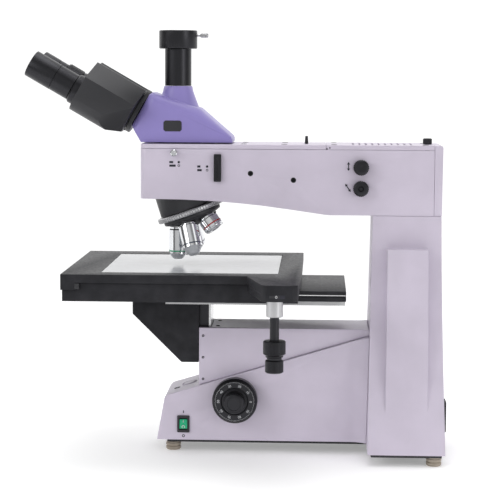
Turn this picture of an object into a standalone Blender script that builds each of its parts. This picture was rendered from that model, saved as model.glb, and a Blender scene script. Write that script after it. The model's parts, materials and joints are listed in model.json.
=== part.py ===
"""Reflected-light microscope with a trinocular head and a large three-layer stage.

Every size below is in millimetres and is written once; the mesh helpers turn millimetres
into metres. While the parts are made, X and Y are counted from the optical axis and Z from
the table. The last step moves the whole model so that its box stands centred on the origin.
+X points from the eyepieces towards the column, +Z up.
"""

import math

import bmesh
import bpy
from mathutils import Matrix, Vector

MM = 0.001
GAP = 0.3                      # clearance between pieces that touch
ROUND = 20                     # sides of an ordinary turned piece
FINE_ROUND = 28                # sides of a large turned piece

# Base: narrow front housing with a sloping top, on a T-shaped plate and four feet
FOOT_RADIUS = 9.2
FOOT_HEIGHT = 10.2
PLATE_THICKNESS = 3.0
PLATE_INSET = 4.0
PLATE_FRONT_INSET = 12.0
BASE_FRONT_X = -22.0
BASE_HALF_WIDTH = 45.0
BASE_WALL = 3.5
NOSE_TOP_X = -9.0              # where the sloping top meets the steep front
NOSE_TOP_Z = 70.8
NOSE_CHAMFER = 3.5
RAMP_SLOPE = 0.3045
FRONT_FOOT_X = -3.0
FRONT_FOOT_Y = 26.0
REAR_FOOT_X = 311.0
REAR_FOOT_Y = 97.0

# Column
COLUMN_FRONT_TOP_X = 237.4
COLUMN_FRONT_FOOT_X = 232.5
COLUMN_BACK_TOP_X = 319.5
COLUMN_BACK_FOOT_X = 324.0
COLUMN_HALF_TOP = 44.0
COLUMN_HALF_FOOT = 110.0
FLARE_START_Z = 256.0
FLARE_POWER = 1.55
COLUMN_WALL = 5.0
RIB_FRONT_X = 254.5
RIB_BACK_X = 303.5
RIB_TOP_Z = 252.0
RIB_BOTTOM_Z = 58.0
RIB_TOP_HALF = 62.0
BASE_FILLET = 24.0             # plan radius that blends the base into the flared column

# Focus block behind the stage bracket
BLOCK_FRONT_X = 29.0
BLOCK_HALF_WIDTH = 40.0
BLOCK_TOP_Z = 152.8
BLOCK_WALL = 4.0
BLOCK_FILLET = 14.0
GUIDE_SLOT_HALF = 31.0
FOCUS_AXIS_X = 73.8
FOCUS_AXIS_Z = 67.5
PINION_LENGTH = 14.0
COARSE_SHAFT_RADIUS = 5.0
FOCUS_PINION_RADIUS = COARSE_SHAFT_RADIUS + 1.0
FINE_SHAFT_RADIUS = 2.6
COARSE_KNOB_RADIUS = 27.2
COARSE_KNOB_DEPTH = 17.0
DIAL_RADIUS = 25.0
DIAL_DEPTH = 2.0
FINE_KNOB_RADIUS = 12.3
FINE_KNOB_DEPTH = 15.7
KNOB_STANDOFF = 4.0            # space between the housing and the coarse knob

# Power switch and inlet
SWITCH_X = 10.6
SWITCH_Z = 35.2
SWITCH_WIDTH = 15.0
SWITCH_HEIGHT = 20.8
ROCKER_WIDTH = 9.4
ROCKER_HEIGHT = 13.6
SWITCH_PROUD = 1.6
INLET_Z = 41.0
INLET_WIDTH = 28.0
INLET_HEIGHT = 38.0
INLET_PROUD = 7.0

# Arm
ARM_FRONT_X = -42.3
ARM_HALF_WIDTH = 44.0
ARM_TOP_Z = 375.0
ARM_COVER_THICKNESS = 5.4
ARM_BOTTOM_REAR_Z = 291.2
ARM_UNDERSIDE = ((-42.3, 18.1), (10.0, 17.4), (52.0, 15.5), (78.0, 13.4), (103.6, 10.9),
                 (141.3, 6.0), (174.0, 1.3), (179.0, 0.6), (185.0, 0.0))   # X, rise from the rear
ARM_WALL = 4.0
ARM_CORNER = 8.0
COVER_SPLIT_X = 180.6
BACK_COVER_X = 310.4
BACK_COVER_END_X = 320.4
ILLUMINATION_Z = 340.0
IRIS_X = 157.0
IRIS_RADIUS = 20.0
IRIS_THICKNESS = 4.0
LEVER_RADIUS = 1.6
LEVER_PROUD = 9.3
CENTRING_PLACES = ((90.5, 340.5), (142.0, 332.9))
CENTRING_HOLE_RADIUS = 3.0
LAMP_KNOB_X = 222.7
LAMP_KNOB_HEIGHTS = (348.8, 323.5)
LAMP_KNOB_RADIUS = 9.4
LAMP_KNOB_DEPTH = 12.0
ANALYSER_X = -1.2
ANALYSER_DROP = 10.2            # below the arm's top
ANALYSER_KNOB_RADIUS = 4.2
ANALYSER_ROD_RADIUS = 1.7
POLARISER_X = 51.0
POLARISER_Z = 347.0
POLARISER_WIDTH = 8.8
POLARISER_HEIGHT = 33.0
POLARISER_PROUD = 4.0
REAR_KNOB_X = 303.8
REAR_KNOB_SIZE = 11.0
REAR_KNOB_HEIGHT = 7.4
KNOB_SCREW_RADIUS = 2.7         # threaded stems of the lamp knobs and the cover knob
VENT_COUNT = 10
VENT_START_X = 213.6
VENT_PITCH = 7.8
VENT_HALF_WIDTH = 1.2
VENT_HALF_LENGTH = 26.0
LIGHT_HOLE_RADIUS = 14.0        # openings round the optical axis between arm and head
LAMP_HOUSE_LOW = (206.0, -28.0, 306.0)
LAMP_HOUSE_HIGH = (296.0, 28.0, 362.0)
MIRROR_LOW = (-22.0, -24.0, 322.0)
MIRROR_HIGH = (40.0, 24.0, 359.0)

# Nosepiece: the turret axis leans by the tilt, and all objective axes meet it at the pivot
TURRET_TILT = math.radians(20.0)
TURRET_PIVOT_Z = 334.5
RING_RADIUS = 42.0
RING_START = 42.3              # distance of the ring's upper face from the pivot
RING_THICKNESS = 6.0
DISH_RADIUS = 36.0
SEAT_DISTANCE = 62.2           # pivot to the shoulder of every objective
OBJECTIVE_COUNT = 5
NOSE_BODY_RADIUS = 37.0
MOUTH_CENTRE_X = 13.5          # oval opening in the arm's floor
MOUTH_HALF_LENGTH = 46.5
MOUTH_HALF_WIDTH = 38.9

# Stage
STAGE_LEFT_X = -126.0
STAGE_RIGHT_X = 153.5
STAGE_HALF_DEPTH = 135.0
STAGE_TOP_Z = 227.3
STAGE_SLAB = 10.0
STAGE_SKIRT = 18.4
LUG_LENGTH = 88.0              # reach of the lug that carries the coaxial knobs
LUG_LEFT_X = 109.5
LUG_RIGHT_X = 150.5
LUG_START_X = 90.5
LUG_CORNER = 6.0
SKIRT_WIDTH = 17.0
GLASS_SIZE = 208.0
GLASS_CENTRE_X = 22.3
GLASS_CENTRE_Y = -3.5
GLASS_THICKNESS = 4.0
GLASS_LEDGE = 5.0
FRAME_BOTTOM_Z = 195.6
FRAME_BAR = 10.0
GUIDE_HALF_DEPTH = 84.0
GUIDE_LEFT_X = -118.0
GUIDE_RIGHT_X = 206.0
GUIDE_TOP_Z = 204.1
GUIDE_BOTTOM_Z = 192.0
RACK_START_X = -8.0
RACK_HEIGHT = 4.6
RACK_DEPTH = 9.0
BED_HALF_WIDTH = 50.0
BED_HALF_DEPTH = 54.0
BED_BOTTOM_Z = 184.0
STAGE_KNOB_X = 123.8
STAGE_KNOB_SETBACK = 51.0      # knob axis behind the lug's front end
SLEEVE_RADIUS = 9.4
SLEEVE_LENGTH = 26.0
STEM_RADIUS = 5.3
UPPER_KNOB_RADIUS = 12.9
UPPER_KNOB_TOP_Z = 158.6
UPPER_KNOB_LENGTH = 16.2
LOWER_KNOB_RADIUS = 10.5
LOWER_KNOB_LENGTH = 19.5
PULLEY_RADIUS = 6.5
KNOB_SHAFT_RADIUS = 3.4
PULLEY_SPACE = 2.0               # room for a belt round the pulley

# Bracket and vertical slide under the stage
BRACKET_FRONT_X = -52.3
BRACKET_HALF_WIDTH = 38.0
BRACKET_STEP_Z = 168.6
BRACKET_TOE_X = 7.3
BRACKET_BOTTOM_Z = 109.8
SLIDE_THICKNESS = 11.0
SLIDE_RISE = 3.0                # lower end of the slide above the bracket's
SLIDE_HALF_WIDTH = 29.0
RAIL_THICKNESS = 2.4
RACK_BAR = 6.0
RACK_HALF_WIDTH = 5.0
RACK_ARM_HEIGHT = 10.0

# Trinocular head
HEAD_LIFT = 1.9                 # thin dark gap between the arm and the head
HEAD_HEIGHT = 67.3
HEAD_HALF_WIDTH = 34.0
BOSS_MARGIN = 5.9               # half width of the tube's boss beyond the tube
HEAD_WALL = 3.5
VIEW_ANGLE = math.radians(30.0)
HUB_CENTRE_X = -48.2            # where the viewing axis leaves the head
HUB_CENTRE_RISE = 36.5
HUB_SEAT = -3.0                 # where the hub's flange meets the head, along the hub's axis
HUB_RADIUS = 26.5
HUB_END = 71.0
FLANGE_RIM = 2.2
FLANGE_THICKNESS = 2.6
EYE_HALF_SPACING = 33.0
EYE_DROP = 13.2
BARREL_RADIUS = 24.7
WING_FLAT_Y = 56.0
WING_ROOF_HEIGHT = 27.4
WING_ROOF_Y = 20.5
FACET_LEAN = 34.0               # the facet looks outwards and this much downwards
FACET_START = 42.4              # its distance from the hub's axis at the inner end
FACET_SLOPE = 0.52
WING_CHAMFER = ((-2.0, -27.8), (28.0, -40.2), (28.0, -60.0), (-2.0, -60.0))
COLLAR_RADIUS = 18.5
COLLAR_LENGTH = 8.0
DIOPTER_RADIUS = 19.0
DIOPTER_START = 84.0
DIOPTER_END = 105.0
EYEPIECE_RADIUS = 16.6
EYEPIECE_END = 138.4
EYEPIECE_INSERT_RADIUS = 11.6
EYETUBE_WALL = 2.35
EYE_LENS_RADIUS = 12.0
EYEPIECE_GROOVE = 104.0
LENS_RECESS = 6.0
PHOTO_TUBE_RADIUS = 16.1
PHOTO_TUBE_LENGTH = 44.5
PHOTO_BORE_RADIUS = 12.0
PORT_RADIUS = 23.2
PORT_BORE_RADIUS = 19.2
PORT_HEIGHT = 22.1
THUMBSCREW_DROP = 6.0
THUMBSCREW_RADIUS = 2.8
THUMBSCREW_LENGTH = 9.6

PLATE_BOTTOM_Z = FOOT_HEIGHT + GAP
PLATE_TOP_Z = PLATE_BOTTOM_Z + PLATE_THICKNESS
COLUMN_BOTTOM_Z = PLATE_TOP_Z + GAP
BASE_BOTTOM_Z = COLUMN_BOTTOM_Z + 1.6
COVER_BOTTOM_Z = ARM_TOP_Z - ARM_COVER_THICKNESS
COLUMN_TOP_Z = ARM_BOTTOM_REAR_Z - GAP
LEVER_TOP_Z = ARM_TOP_Z + LEVER_PROUD
ANALYSER_Z = ARM_TOP_Z - ANALYSER_DROP
LUG_REACH_Y = -STAGE_HALF_DEPTH - LUG_LENGTH
STAGE_KNOB_Y = LUG_REACH_Y + STAGE_KNOB_SETBACK
HEAD_BOTTOM_Z = ARM_TOP_Z + HEAD_LIFT
HEAD_TOP_Z = HEAD_BOTTOM_Z + HEAD_HEIGHT
HUB_CENTRE = (HUB_CENTRE_X, HEAD_BOTTOM_Z + HUB_CENTRE_RISE)
FLANGE_RADIUS = HUB_RADIUS + FLANGE_RIM
PHOTO_TUBE_TOP_Z = HEAD_TOP_Z + GAP + PHOTO_TUBE_LENGTH
PORT_TOP_Z = PHOTO_TUBE_TOP_Z + GAP + PORT_HEIGHT
THUMBSCREW_Z = PORT_TOP_Z - THUMBSCREW_DROP


# ---------------------------------------------------------------- materials

def finish_material(name, colour, roughness, metallic):
    """Return a Principled material."""
    material = bpy.data.materials.new(name)
    material.use_nodes = True
    shader = material.node_tree.nodes["Principled BSDF"]
    shader.inputs["Base Color"].default_value = (*colour, 1.0)
    shader.inputs["Roughness"].default_value = roughness
    shader.inputs["Metallic"].default_value = metallic
    return material


FINISHES = {
    "lilac_paint": ((0.58, 0.53, 0.64), 0.45, 0.0),
    "violet_paint": ((0.30, 0.25, 0.58), 0.42, 0.0),
    "black_paint": ((0.030, 0.032, 0.036), 0.45, 0.0),
    "black_anodised": ((0.035, 0.036, 0.040), 0.38, 0.6),
    "stage_grey": ((0.085, 0.087, 0.095), 0.42, 0.4),
    "bright_chrome": ((0.80, 0.81, 0.83), 0.12, 1.0),
    "ground_steel": ((0.55, 0.55, 0.56), 0.30, 1.0),
    "foot_nickel": ((0.42, 0.37, 0.31), 0.35, 1.0),
    "bare_aluminium": ((0.72, 0.73, 0.75), 0.40, 1.0),
    "gear_brass": ((0.72, 0.55, 0.28), 0.35, 1.0),
    "plate_glass": ((0.86, 0.87, 0.89), 0.06, 0.0),
    "green_lens": ((0.01, 0.42, 0.20), 0.25, 0.0),
    "black_plastic": ((0.025, 0.025, 0.028), 0.50, 0.0),
}


# ---------------------------------------------------------------- mesh helpers

def axis_point(axis, first, second, along):
    """Place a 2-D outline point on a plane across an axis."""
    if axis == "X":
        return Vector((along, first, second))
    if axis == "Y":
        return Vector((first, along, second))
    return Vector((first, second, along))


def loft(mesh, sections):
    """Join closed loops of equal point counts and cap both ends."""
    rings = [[mesh.verts.new(point) for point in section] for section in sections]
    count = len(rings[0])
    for lower, upper in zip(rings, rings[1:]):
        for index in range(count):
            following = (index + 1) % count
            mesh.faces.new((lower[index], lower[following], upper[following], upper[index]))
    mesh.faces.new(rings[0][::-1])
    mesh.faces.new(rings[-1])
    return mesh


def prism(outline, axis, low, high, mesh=None):
    """Extrude a closed outline along an axis."""
    mesh = mesh or bmesh.new()
    sections = [[axis_point(axis, a, b, t) for a, b in outline] for t in (low, high)]
    return loft(mesh, sections)


def box(low, high, mesh=None):
    """Add a box between two corners."""
    outline = [(low[0], low[1]), (high[0], low[1]), (high[0], high[1]), (low[0], high[1])]
    return prism(outline, "Z", low[2], high[2], mesh)


def turned(profile, frame=None, sides=ROUND, mesh=None, closed=False):
    """Revolve (radius, height) points about the frame's Z axis; closed makes a tube."""
    mesh = mesh or bmesh.new()
    frame = frame or Matrix()
    rings = []
    for radius, height in profile:
        if radius < 1e-6:
            rings.append([mesh.verts.new(frame @ Vector((0, 0, height)))])
            continue
        angles = [2 * math.pi * index / sides for index in range(sides)]
        rings.append([mesh.verts.new(frame @ Vector((radius * math.cos(angle),
                                                     radius * math.sin(angle), height)))
                      for angle in angles])
    pairs = list(zip(rings, rings[1:]))
    if closed:
        pairs.append((rings[-1], rings[0]))
    for lower, upper in pairs:
        for index in range(sides):
            following = (index + 1) % sides
            corners = [lower[index % len(lower)], lower[following % len(lower)],
                       upper[following % len(upper)], upper[index % len(upper)]]
            unique = [v for place, v in enumerate(corners) if v not in corners[:place]]
            if len(unique) > 2:
                mesh.faces.new(unique)
    return mesh


def aimed(origin, direction):
    """Return a frame whose Z axis points along a direction."""
    turn = Vector(direction).to_track_quat("Z", "Y").to_matrix().to_4x4()
    return Matrix.Translation(Vector(origin)) @ turn


def rounded_rectangle(low, high, radius, steps=4):
    """Return a rectangle outline with round corners."""
    corners = [((high[0] - radius, high[1] - radius), 0), ((low[0] + radius, high[1] - radius), 90),
               ((low[0] + radius, low[1] + radius), 180), ((high[0] - radius, low[1] + radius), 270)]
    points = []
    for (cx, cy), start in corners:
        for step in range(steps + 1):
            angle = math.radians(start + 90 * step / steps)
            points.append((cx + radius * math.cos(angle), cy + radius * math.sin(angle)))
    return points


def store(name, mesh, finish, origin=(0, 0, 0)):
    """Turn a bmesh in millimetres into an object with its origin at a point."""
    bmesh.ops.recalc_face_normals(mesh, faces=mesh.faces)
    for vertex in mesh.verts:
        vertex.co = (vertex.co - Vector(origin)) * MM
    data = bpy.data.meshes.new(name)
    mesh.to_mesh(data)
    mesh.free()
    data.shade_smooth()
    data.set_sharp_from_angle(angle=math.radians(30))
    obj = bpy.data.objects.new(name, data)
    obj.location = Vector(origin) * MM
    bpy.context.scene.collection.objects.link(obj)
    if finish:
        obj.data.materials.append(bpy.data.materials[finish])
    return obj


def combine(target, tool_mesh, operation):
    """Apply a Boolean with a hidden tool made from a bmesh."""
    tool = store(target.name + "_" + operation.lower(), tool_mesh, None)
    tool.hide_render = True
    tool.display_type = "WIRE"
    modifier = target.modifiers.new(operation.title(), "BOOLEAN")
    modifier.operation = operation
    modifier.solver = "EXACT"
    modifier.object = tool
    return target


def cut(target, tool_mesh):
    """Cut a shape out of a piece."""
    return combine(target, tool_mesh, "DIFFERENCE")


def fuse(target, tool_mesh):
    """Join a shape to a piece."""
    return combine(target, tool_mesh, "UNION")


def keep_common(target, tool_mesh):
    """Keep only what a piece shares with a shape."""
    return combine(target, tool_mesh, "INTERSECT")


# ---------------------------------------------------------------- shared curves

def ramp_z(x):
    """Height of the base's sloping top."""
    return NOSE_TOP_Z + RAMP_SLOPE * (x - NOSE_TOP_X)


def column_share(z):
    """How far down the column a height is, from 0 at the top to 1 at the foot."""
    return (COLUMN_TOP_Z - z) / (COLUMN_TOP_Z - COLUMN_BOTTOM_Z)


def column_front_x(z):
    """X of the column's leaning front face."""
    return COLUMN_FRONT_TOP_X + (COLUMN_FRONT_FOOT_X - COLUMN_FRONT_TOP_X) * column_share(z)


def column_back_x(z):
    """X of the column's back face."""
    return COLUMN_BACK_TOP_X + (COLUMN_BACK_FOOT_X - COLUMN_BACK_TOP_X) * column_share(z)


def column_half_width(z):
    """Half width of the flared column at a height."""
    if z >= FLARE_START_Z:
        return COLUMN_HALF_TOP
    share = (FLARE_START_Z - z) / (FLARE_START_Z - COLUMN_BOTTOM_Z)
    return COLUMN_HALF_TOP + (COLUMN_HALF_FOOT - COLUMN_HALF_TOP) * share ** FLARE_POWER


def arm_bottom_z(x):
    """Height of the arm's underside: gentle at the front, then a straight slope to the rear."""
    for (near, rise), (far, next_rise) in zip(ARM_UNDERSIDE, ARM_UNDERSIDE[1:]):
        if x <= far:
            share = max(x - near, 0.0) / (far - near)
            return ARM_BOTTOM_REAR_Z + rise + (next_rise - rise) * share
    return ARM_BOTTOM_REAR_Z


def turret_axis():
    """Unit vector down the turret's axis."""
    return Vector((math.sin(TURRET_TILT), 0, -math.cos(TURRET_TILT)))


def view_point(along, height=0.0, side=0.0):
    """Point in the inclined viewing head, from the hub's centre."""
    up_slope = Vector((-math.cos(VIEW_ANGLE), 0, math.sin(VIEW_ANGLE)))
    across = Vector((math.sin(VIEW_ANGLE), 0, math.cos(VIEW_ANGLE)))
    centre = Vector((HUB_CENTRE[0], 0, HUB_CENTRE[1]))
    return centre + along * up_slope + height * across + Vector((0, side, 0))


def view_frame(side=0.0, height=0.0):
    """Frame whose Z axis runs up the viewing axis towards the eye."""
    origin = view_point(0, height, side)
    return aimed(origin, (-math.cos(VIEW_ANGLE), 0, math.sin(VIEW_ANGLE)))


def flared_plan(half_width, fillet, end_x, start_x):
    """Plan outline of a housing that spreads into the column with a concave fillet."""
    side = [(end_x - fillet + fillet * math.sin(angle), half_width + fillet * (1 - math.cos(angle)))
            for angle in (math.radians(step * 90 / 5) for step in range(6))]
    outline = [(start_x, half_width)] + side
    return outline + [(x, -y) for x, y in reversed(outline)]


# ---------------------------------------------------------------- base and column

def make_base():
    """Housing with the sloping top, open below, with holes for the focus drive and switch."""
    end_x = column_front_x(BASE_BOTTOM_Z) - GAP
    top_x = column_front_x(ramp_z(COLUMN_FRONT_FOOT_X)) - GAP
    plan = flared_plan(BASE_HALF_WIDTH, BASE_FILLET, COLUMN_FRONT_TOP_X, BASE_FRONT_X - 5)
    base = store("base_housing", prism(plan, "Z", BASE_BOTTOM_Z, 160), "lilac_paint")
    side = [(BASE_FRONT_X, BASE_BOTTOM_Z - 1), (end_x, BASE_BOTTOM_Z - 1), (top_x, ramp_z(top_x)),
            (NOSE_TOP_X, NOSE_TOP_Z), (NOSE_TOP_X - NOSE_CHAMFER, NOSE_TOP_Z - NOSE_CHAMFER)]
    keep_common(base, prism(side, "Y", -120, 120))
    inner = [(BASE_FRONT_X + BASE_WALL, BASE_BOTTOM_Z - 2), (end_x - BASE_WALL, BASE_BOTTOM_Z - 2),
             (top_x - BASE_WALL, ramp_z(top_x) - 2 * BASE_WALL),
             (NOSE_TOP_X + BASE_WALL, NOSE_TOP_Z - BASE_WALL)]
    inner_half = BASE_HALF_WIDTH - BASE_WALL
    cut(base, prism(inner, "Y", -inner_half, inner_half))
    slot_start = BLOCK_FRONT_X + SLIDE_THICKNESS
    slot_half = RACK_HALF_WIDTH + 3
    drive_slot = box((slot_start, -slot_half, ramp_z(slot_start) - 12),
                     (FOCUS_AXIS_X - 3, slot_half, ramp_z(FOCUS_AXIS_X) + 12))
    cut(base, drive_slot)
    shaft_frame = aimed((FOCUS_AXIS_X, 0, FOCUS_AXIS_Z), (0, 1, 0))
    bore = COARSE_SHAFT_RADIUS + GAP
    cut(base, turned([(0, -60), (bore, -60), (bore, 60), (0, 60)], shaft_frame))
    half_x = SWITCH_WIDTH / 2 - 1.2
    half_z = SWITCH_HEIGHT / 2 - 1.2
    cut(base, box((SWITCH_X - half_x, -BASE_HALF_WIDTH - 2, SWITCH_Z - half_z),
                  (SWITCH_X + half_x, -BASE_HALF_WIDTH + 6, SWITCH_Z + half_z)))


def make_base_plate():
    """T-shaped plate that closes the base and the column from below."""
    half = BASE_HALF_WIDTH - PLATE_FRONT_INSET
    wide = COLUMN_HALF_FOOT - PLATE_INSET
    step_x = COLUMN_FRONT_FOOT_X + PLATE_INSET
    right = COLUMN_BACK_FOOT_X - PLATE_INSET
    left = BASE_FRONT_X + PLATE_FRONT_INSET
    outline = [(left, -half), (step_x, -half), (step_x, -wide), (right, -wide),
               (right, wide), (step_x, wide), (step_x, half), (left, half)]
    store("base_plate", prism(outline, "Z", PLATE_BOTTOM_Z, PLATE_TOP_Z), "black_paint")


def make_feet():
    """Four levelling feet with rounded rims."""
    places = [("front", FRONT_FOOT_X, FRONT_FOOT_Y), ("rear", REAR_FOOT_X, REAR_FOOT_Y)]
    for row, x, y in places:
        for side, sign in (("right", -1), ("left", 1)):
            profile = [(0, 0), (FOOT_RADIUS - 1, 0), (FOOT_RADIUS, 1),
                       (FOOT_RADIUS, FOOT_HEIGHT - 1), (FOOT_RADIUS - 1, FOOT_HEIGHT),
                       (0, FOOT_HEIGHT)]
            frame = Matrix.Translation((x, sign * y, 0))
            store(f"foot_{row}_{side}", turned(profile, frame), "foot_nickel", (x, sign * y, 0))


def column_sections(inset, levels):
    """Rectangular sections of the flared column, shrunk by a wall thickness."""
    sections = []
    for z in levels:
        half = column_half_width(z) - inset
        front = column_front_x(z) + inset
        back = column_back_x(z) - inset
        sections.append([Vector((front, -half, z)), Vector((back, -half, z)),
                         Vector((back, half, z)), Vector((front, half, z))])
    return sections


def make_column():
    """Hollow flared column with a raised rib down each side."""
    steps = 9
    levels = [COLUMN_BOTTOM_Z + (FLARE_START_Z - COLUMN_BOTTOM_Z) * n / steps for n in range(steps + 1)]
    outer = levels + [COLUMN_TOP_Z]
    column = store("column", loft(bmesh.new(), column_sections(0, outer)), "lilac_paint")
    low_half = column_half_width(RIB_BOTTOM_Z) - 0.6
    for sign in (-1, 1):
        outline = [(sign * (COLUMN_HALF_TOP - 3), RIB_TOP_Z), (sign * RIB_TOP_HALF, RIB_TOP_Z),
                   (sign * low_half, RIB_BOTTOM_Z), (sign * (low_half - 30), RIB_BOTTOM_Z)]
        fuse(column, prism(outline, "X", RIB_FRONT_X, RIB_BACK_X))
    inner = [COLUMN_BOTTOM_Z - 2] + levels[1:] + [COLUMN_TOP_Z - COLUMN_WALL]
    cut(column, loft(bmesh.new(), column_sections(COLUMN_WALL, inner)))
    cut(column, box((250, -25, COLUMN_TOP_Z - 10), (300, 25, COLUMN_TOP_Z + 10)))
    half_y = INLET_WIDTH / 2 - 3
    half_z = INLET_HEIGHT / 2 - 3
    cut(column, box((300, -half_y, INLET_Z - half_z), (340, half_y, INLET_Z + half_z)))


def make_inlet():
    """Mains inlet on the back of the column, with its recess."""
    face = column_back_x(INLET_Z - INLET_HEIGHT / 2) + GAP
    outline = rounded_rectangle((-INLET_WIDTH / 2, INLET_Z - INLET_HEIGHT / 2),
                                (INLET_WIDTH / 2, INLET_Z + INLET_HEIGHT / 2), 3, 2)
    inlet = store("power_inlet", prism(outline, "X", face, face + INLET_PROUD), "black_plastic")
    half_y = INLET_WIDTH / 2 - 3 - GAP
    half_z = INLET_HEIGHT / 2 - 3 - GAP
    fuse(inlet, box((face - 22, -half_y, INLET_Z - half_z), (face + 1, half_y, INLET_Z + half_z)))
    cut(inlet, box((face - 14, -half_y + 3, INLET_Z - half_z + 9),
                   (face + INLET_PROUD + 2, half_y - 3, INLET_Z + half_z - 3)))
    for place in (-5, 0, 5):
        fuse(inlet, box((face - 16, place - 1, INLET_Z - 1), (face, place + 1, INLET_Z + 3)))


def make_switch():
    """Bezel and rocker of the power switch; the rocker turns about its middle."""
    face = -BASE_HALF_WIDTH
    outer = rounded_rectangle((SWITCH_X - SWITCH_WIDTH / 2, SWITCH_Z - SWITCH_HEIGHT / 2),
                              (SWITCH_X + SWITCH_WIDTH / 2, SWITCH_Z + SWITCH_HEIGHT / 2), 1.2, 2)
    bezel = store("switch_bezel", prism(outer, "Y", face - GAP - SWITCH_PROUD, face - GAP),
                  "black_plastic")
    half_x = SWITCH_WIDTH / 2 - 1.2 - GAP
    half_z = SWITCH_HEIGHT / 2 - 1.2 - GAP
    fuse(bezel, box((SWITCH_X - half_x, face - 1, SWITCH_Z - half_z),
                    (SWITCH_X + half_x, face + 14, SWITCH_Z + half_z)))
    half_w = ROCKER_WIDTH / 2 + GAP
    half_h = ROCKER_HEIGHT / 2 + GAP
    cut(bezel, box((SWITCH_X - half_w, face - 6, SWITCH_Z - half_h),
                   (SWITCH_X + half_w, face + 11, SWITCH_Z + half_h)))
    pivot_y = face + 4
    top = ROCKER_HEIGHT / 2 - 1.2
    outline = [(pivot_y + 3, SWITCH_Z - 2), (pivot_y + 3, SWITCH_Z + 2), (pivot_y, SWITCH_Z + top),
               (face - 1.0, SWITCH_Z + top), (face - 1.6, SWITCH_Z), (face - 2.6, SWITCH_Z - top),
               (pivot_y, SWITCH_Z - top)]
    store("switch_rocker", prism(outline, "X", SWITCH_X - ROCKER_WIDTH / 2,
                                 SWITCH_X + ROCKER_WIDTH / 2),
          "green_lens", (SWITCH_X, pivot_y, SWITCH_Z))


def make_block():
    """Focus block on the sloping top, slotted in front for the vertical slide."""
    top_x = column_front_x(BLOCK_TOP_Z) - GAP
    low_x = column_front_x(ramp_z(COLUMN_FRONT_FOOT_X)) - GAP
    plan = flared_plan(BLOCK_HALF_WIDTH, BLOCK_FILLET, COLUMN_FRONT_TOP_X, BLOCK_FRONT_X)
    block = store("focus_block", prism(plan, "Z", 60, BLOCK_TOP_Z), "lilac_paint")
    side = [(BLOCK_FRONT_X - 2, ramp_z(BLOCK_FRONT_X - 2) + GAP), (low_x, ramp_z(low_x) + GAP),
            (top_x, BLOCK_TOP_Z + 2), (BLOCK_FRONT_X - 2, BLOCK_TOP_Z + 2)]
    keep_common(block, prism(side, "Y", -120, 120))
    slot_back = BLOCK_FRONT_X + SLIDE_THICKNESS + RAIL_THICKNESS + 3 * GAP
    cut(block, box((BLOCK_FRONT_X - 2, -GUIDE_SLOT_HALF, 50),
                   (slot_back, GUIDE_SLOT_HALF, BLOCK_TOP_Z + 5)))
    half = BLOCK_HALF_WIDTH - BLOCK_WALL
    hollow = [(slot_back - 1, 40), (low_x - BLOCK_WALL, 40),
              (top_x - BLOCK_WALL, BLOCK_TOP_Z - BLOCK_WALL), (slot_back + 6, BLOCK_TOP_Z - BLOCK_WALL),
              (slot_back + 6, BLOCK_TOP_Z - 14), (slot_back - 1, BLOCK_TOP_Z - 14)]
    cut(block, prism(hollow, "Y", -half + 5, half - 5))


# ---------------------------------------------------------------- focus drive

def mirrored(profile, sign):
    """Flip a turned profile to the other end of its axis."""
    return [(radius, sign * height) for radius, height in profile]


def make_coarse_drive():
    """Coarse knobs with their dials; the right one carries the hollow shaft and the pinion."""
    frame = aimed((FOCUS_AXIS_X, 0, FOCUS_AXIS_Z), (0, 1, 0))
    origin = (FOCUS_AXIS_X, 0, FOCUS_AXIS_Z)
    near = BASE_HALF_WIDTH + KNOB_STANDOFF
    end = near + COARSE_KNOB_DEPTH
    bore = FINE_SHAFT_RADIUS + GAP
    body = [(COARSE_KNOB_RADIUS - 1, near), (COARSE_KNOB_RADIUS, near + 1),
            (COARSE_KNOB_RADIUS, end - 2), (DIAL_RADIUS + 0.6, end), (DIAL_RADIUS, end),
            (DIAL_RADIUS - 0.8, end + DIAL_DEPTH), (bore, end + DIAL_DEPTH)]
    shaft_end = near + 8
    pinion = PINION_LENGTH / 2
    shaft = [(bore, shaft_end), (COARSE_SHAFT_RADIUS, shaft_end), (COARSE_SHAFT_RADIUS, pinion),
             (FOCUS_PINION_RADIUS, pinion), (FOCUS_PINION_RADIUS, -pinion),
             (COARSE_SHAFT_RADIUS, -pinion), (COARSE_SHAFT_RADIUS, -near)]
    right = shaft + mirrored(body, -1)
    store("coarse_knob_right", turned(right, frame, FINE_ROUND, closed=True),
          "black_anodised", origin)
    socket = COARSE_SHAFT_RADIUS + GAP
    left = [(socket, near)] + body + [(bore, shaft_end + GAP), (socket, shaft_end + GAP)]
    store("coarse_knob_left", turned(left, frame, FINE_ROUND, closed=True), "black_anodised", origin)


def make_fine_drive():
    """Fine knobs outside the coarse ones; the right one carries the shaft through both."""
    frame = aimed((FOCUS_AXIS_X, 0, FOCUS_AXIS_Z), (0, 1, 0))
    origin = (FOCUS_AXIS_X, 0, FOCUS_AXIS_Z)
    start = BASE_HALF_WIDTH + KNOB_STANDOFF + COARSE_KNOB_DEPTH + DIAL_DEPTH + GAP
    end = start + FINE_KNOB_DEPTH
    tip = start + 8
    edge = FINE_KNOB_RADIUS
    body = [(edge - 0.8, start), (edge, start + 0.8), (edge, end - 1), (edge - 1, end), (0, end)]
    right = [(0, tip), (FINE_SHAFT_RADIUS, tip), (FINE_SHAFT_RADIUS, -start)] + mirrored(body, -1)
    store("fine_knob_right", turned(right, frame), "black_anodised", origin)
    socket = FINE_SHAFT_RADIUS + GAP
    left = [(socket, start)] + body + [(0, tip + GAP), (socket, tip + GAP)]
    store("fine_knob_left", turned(left, frame, closed=True), "black_anodised", origin)


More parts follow.
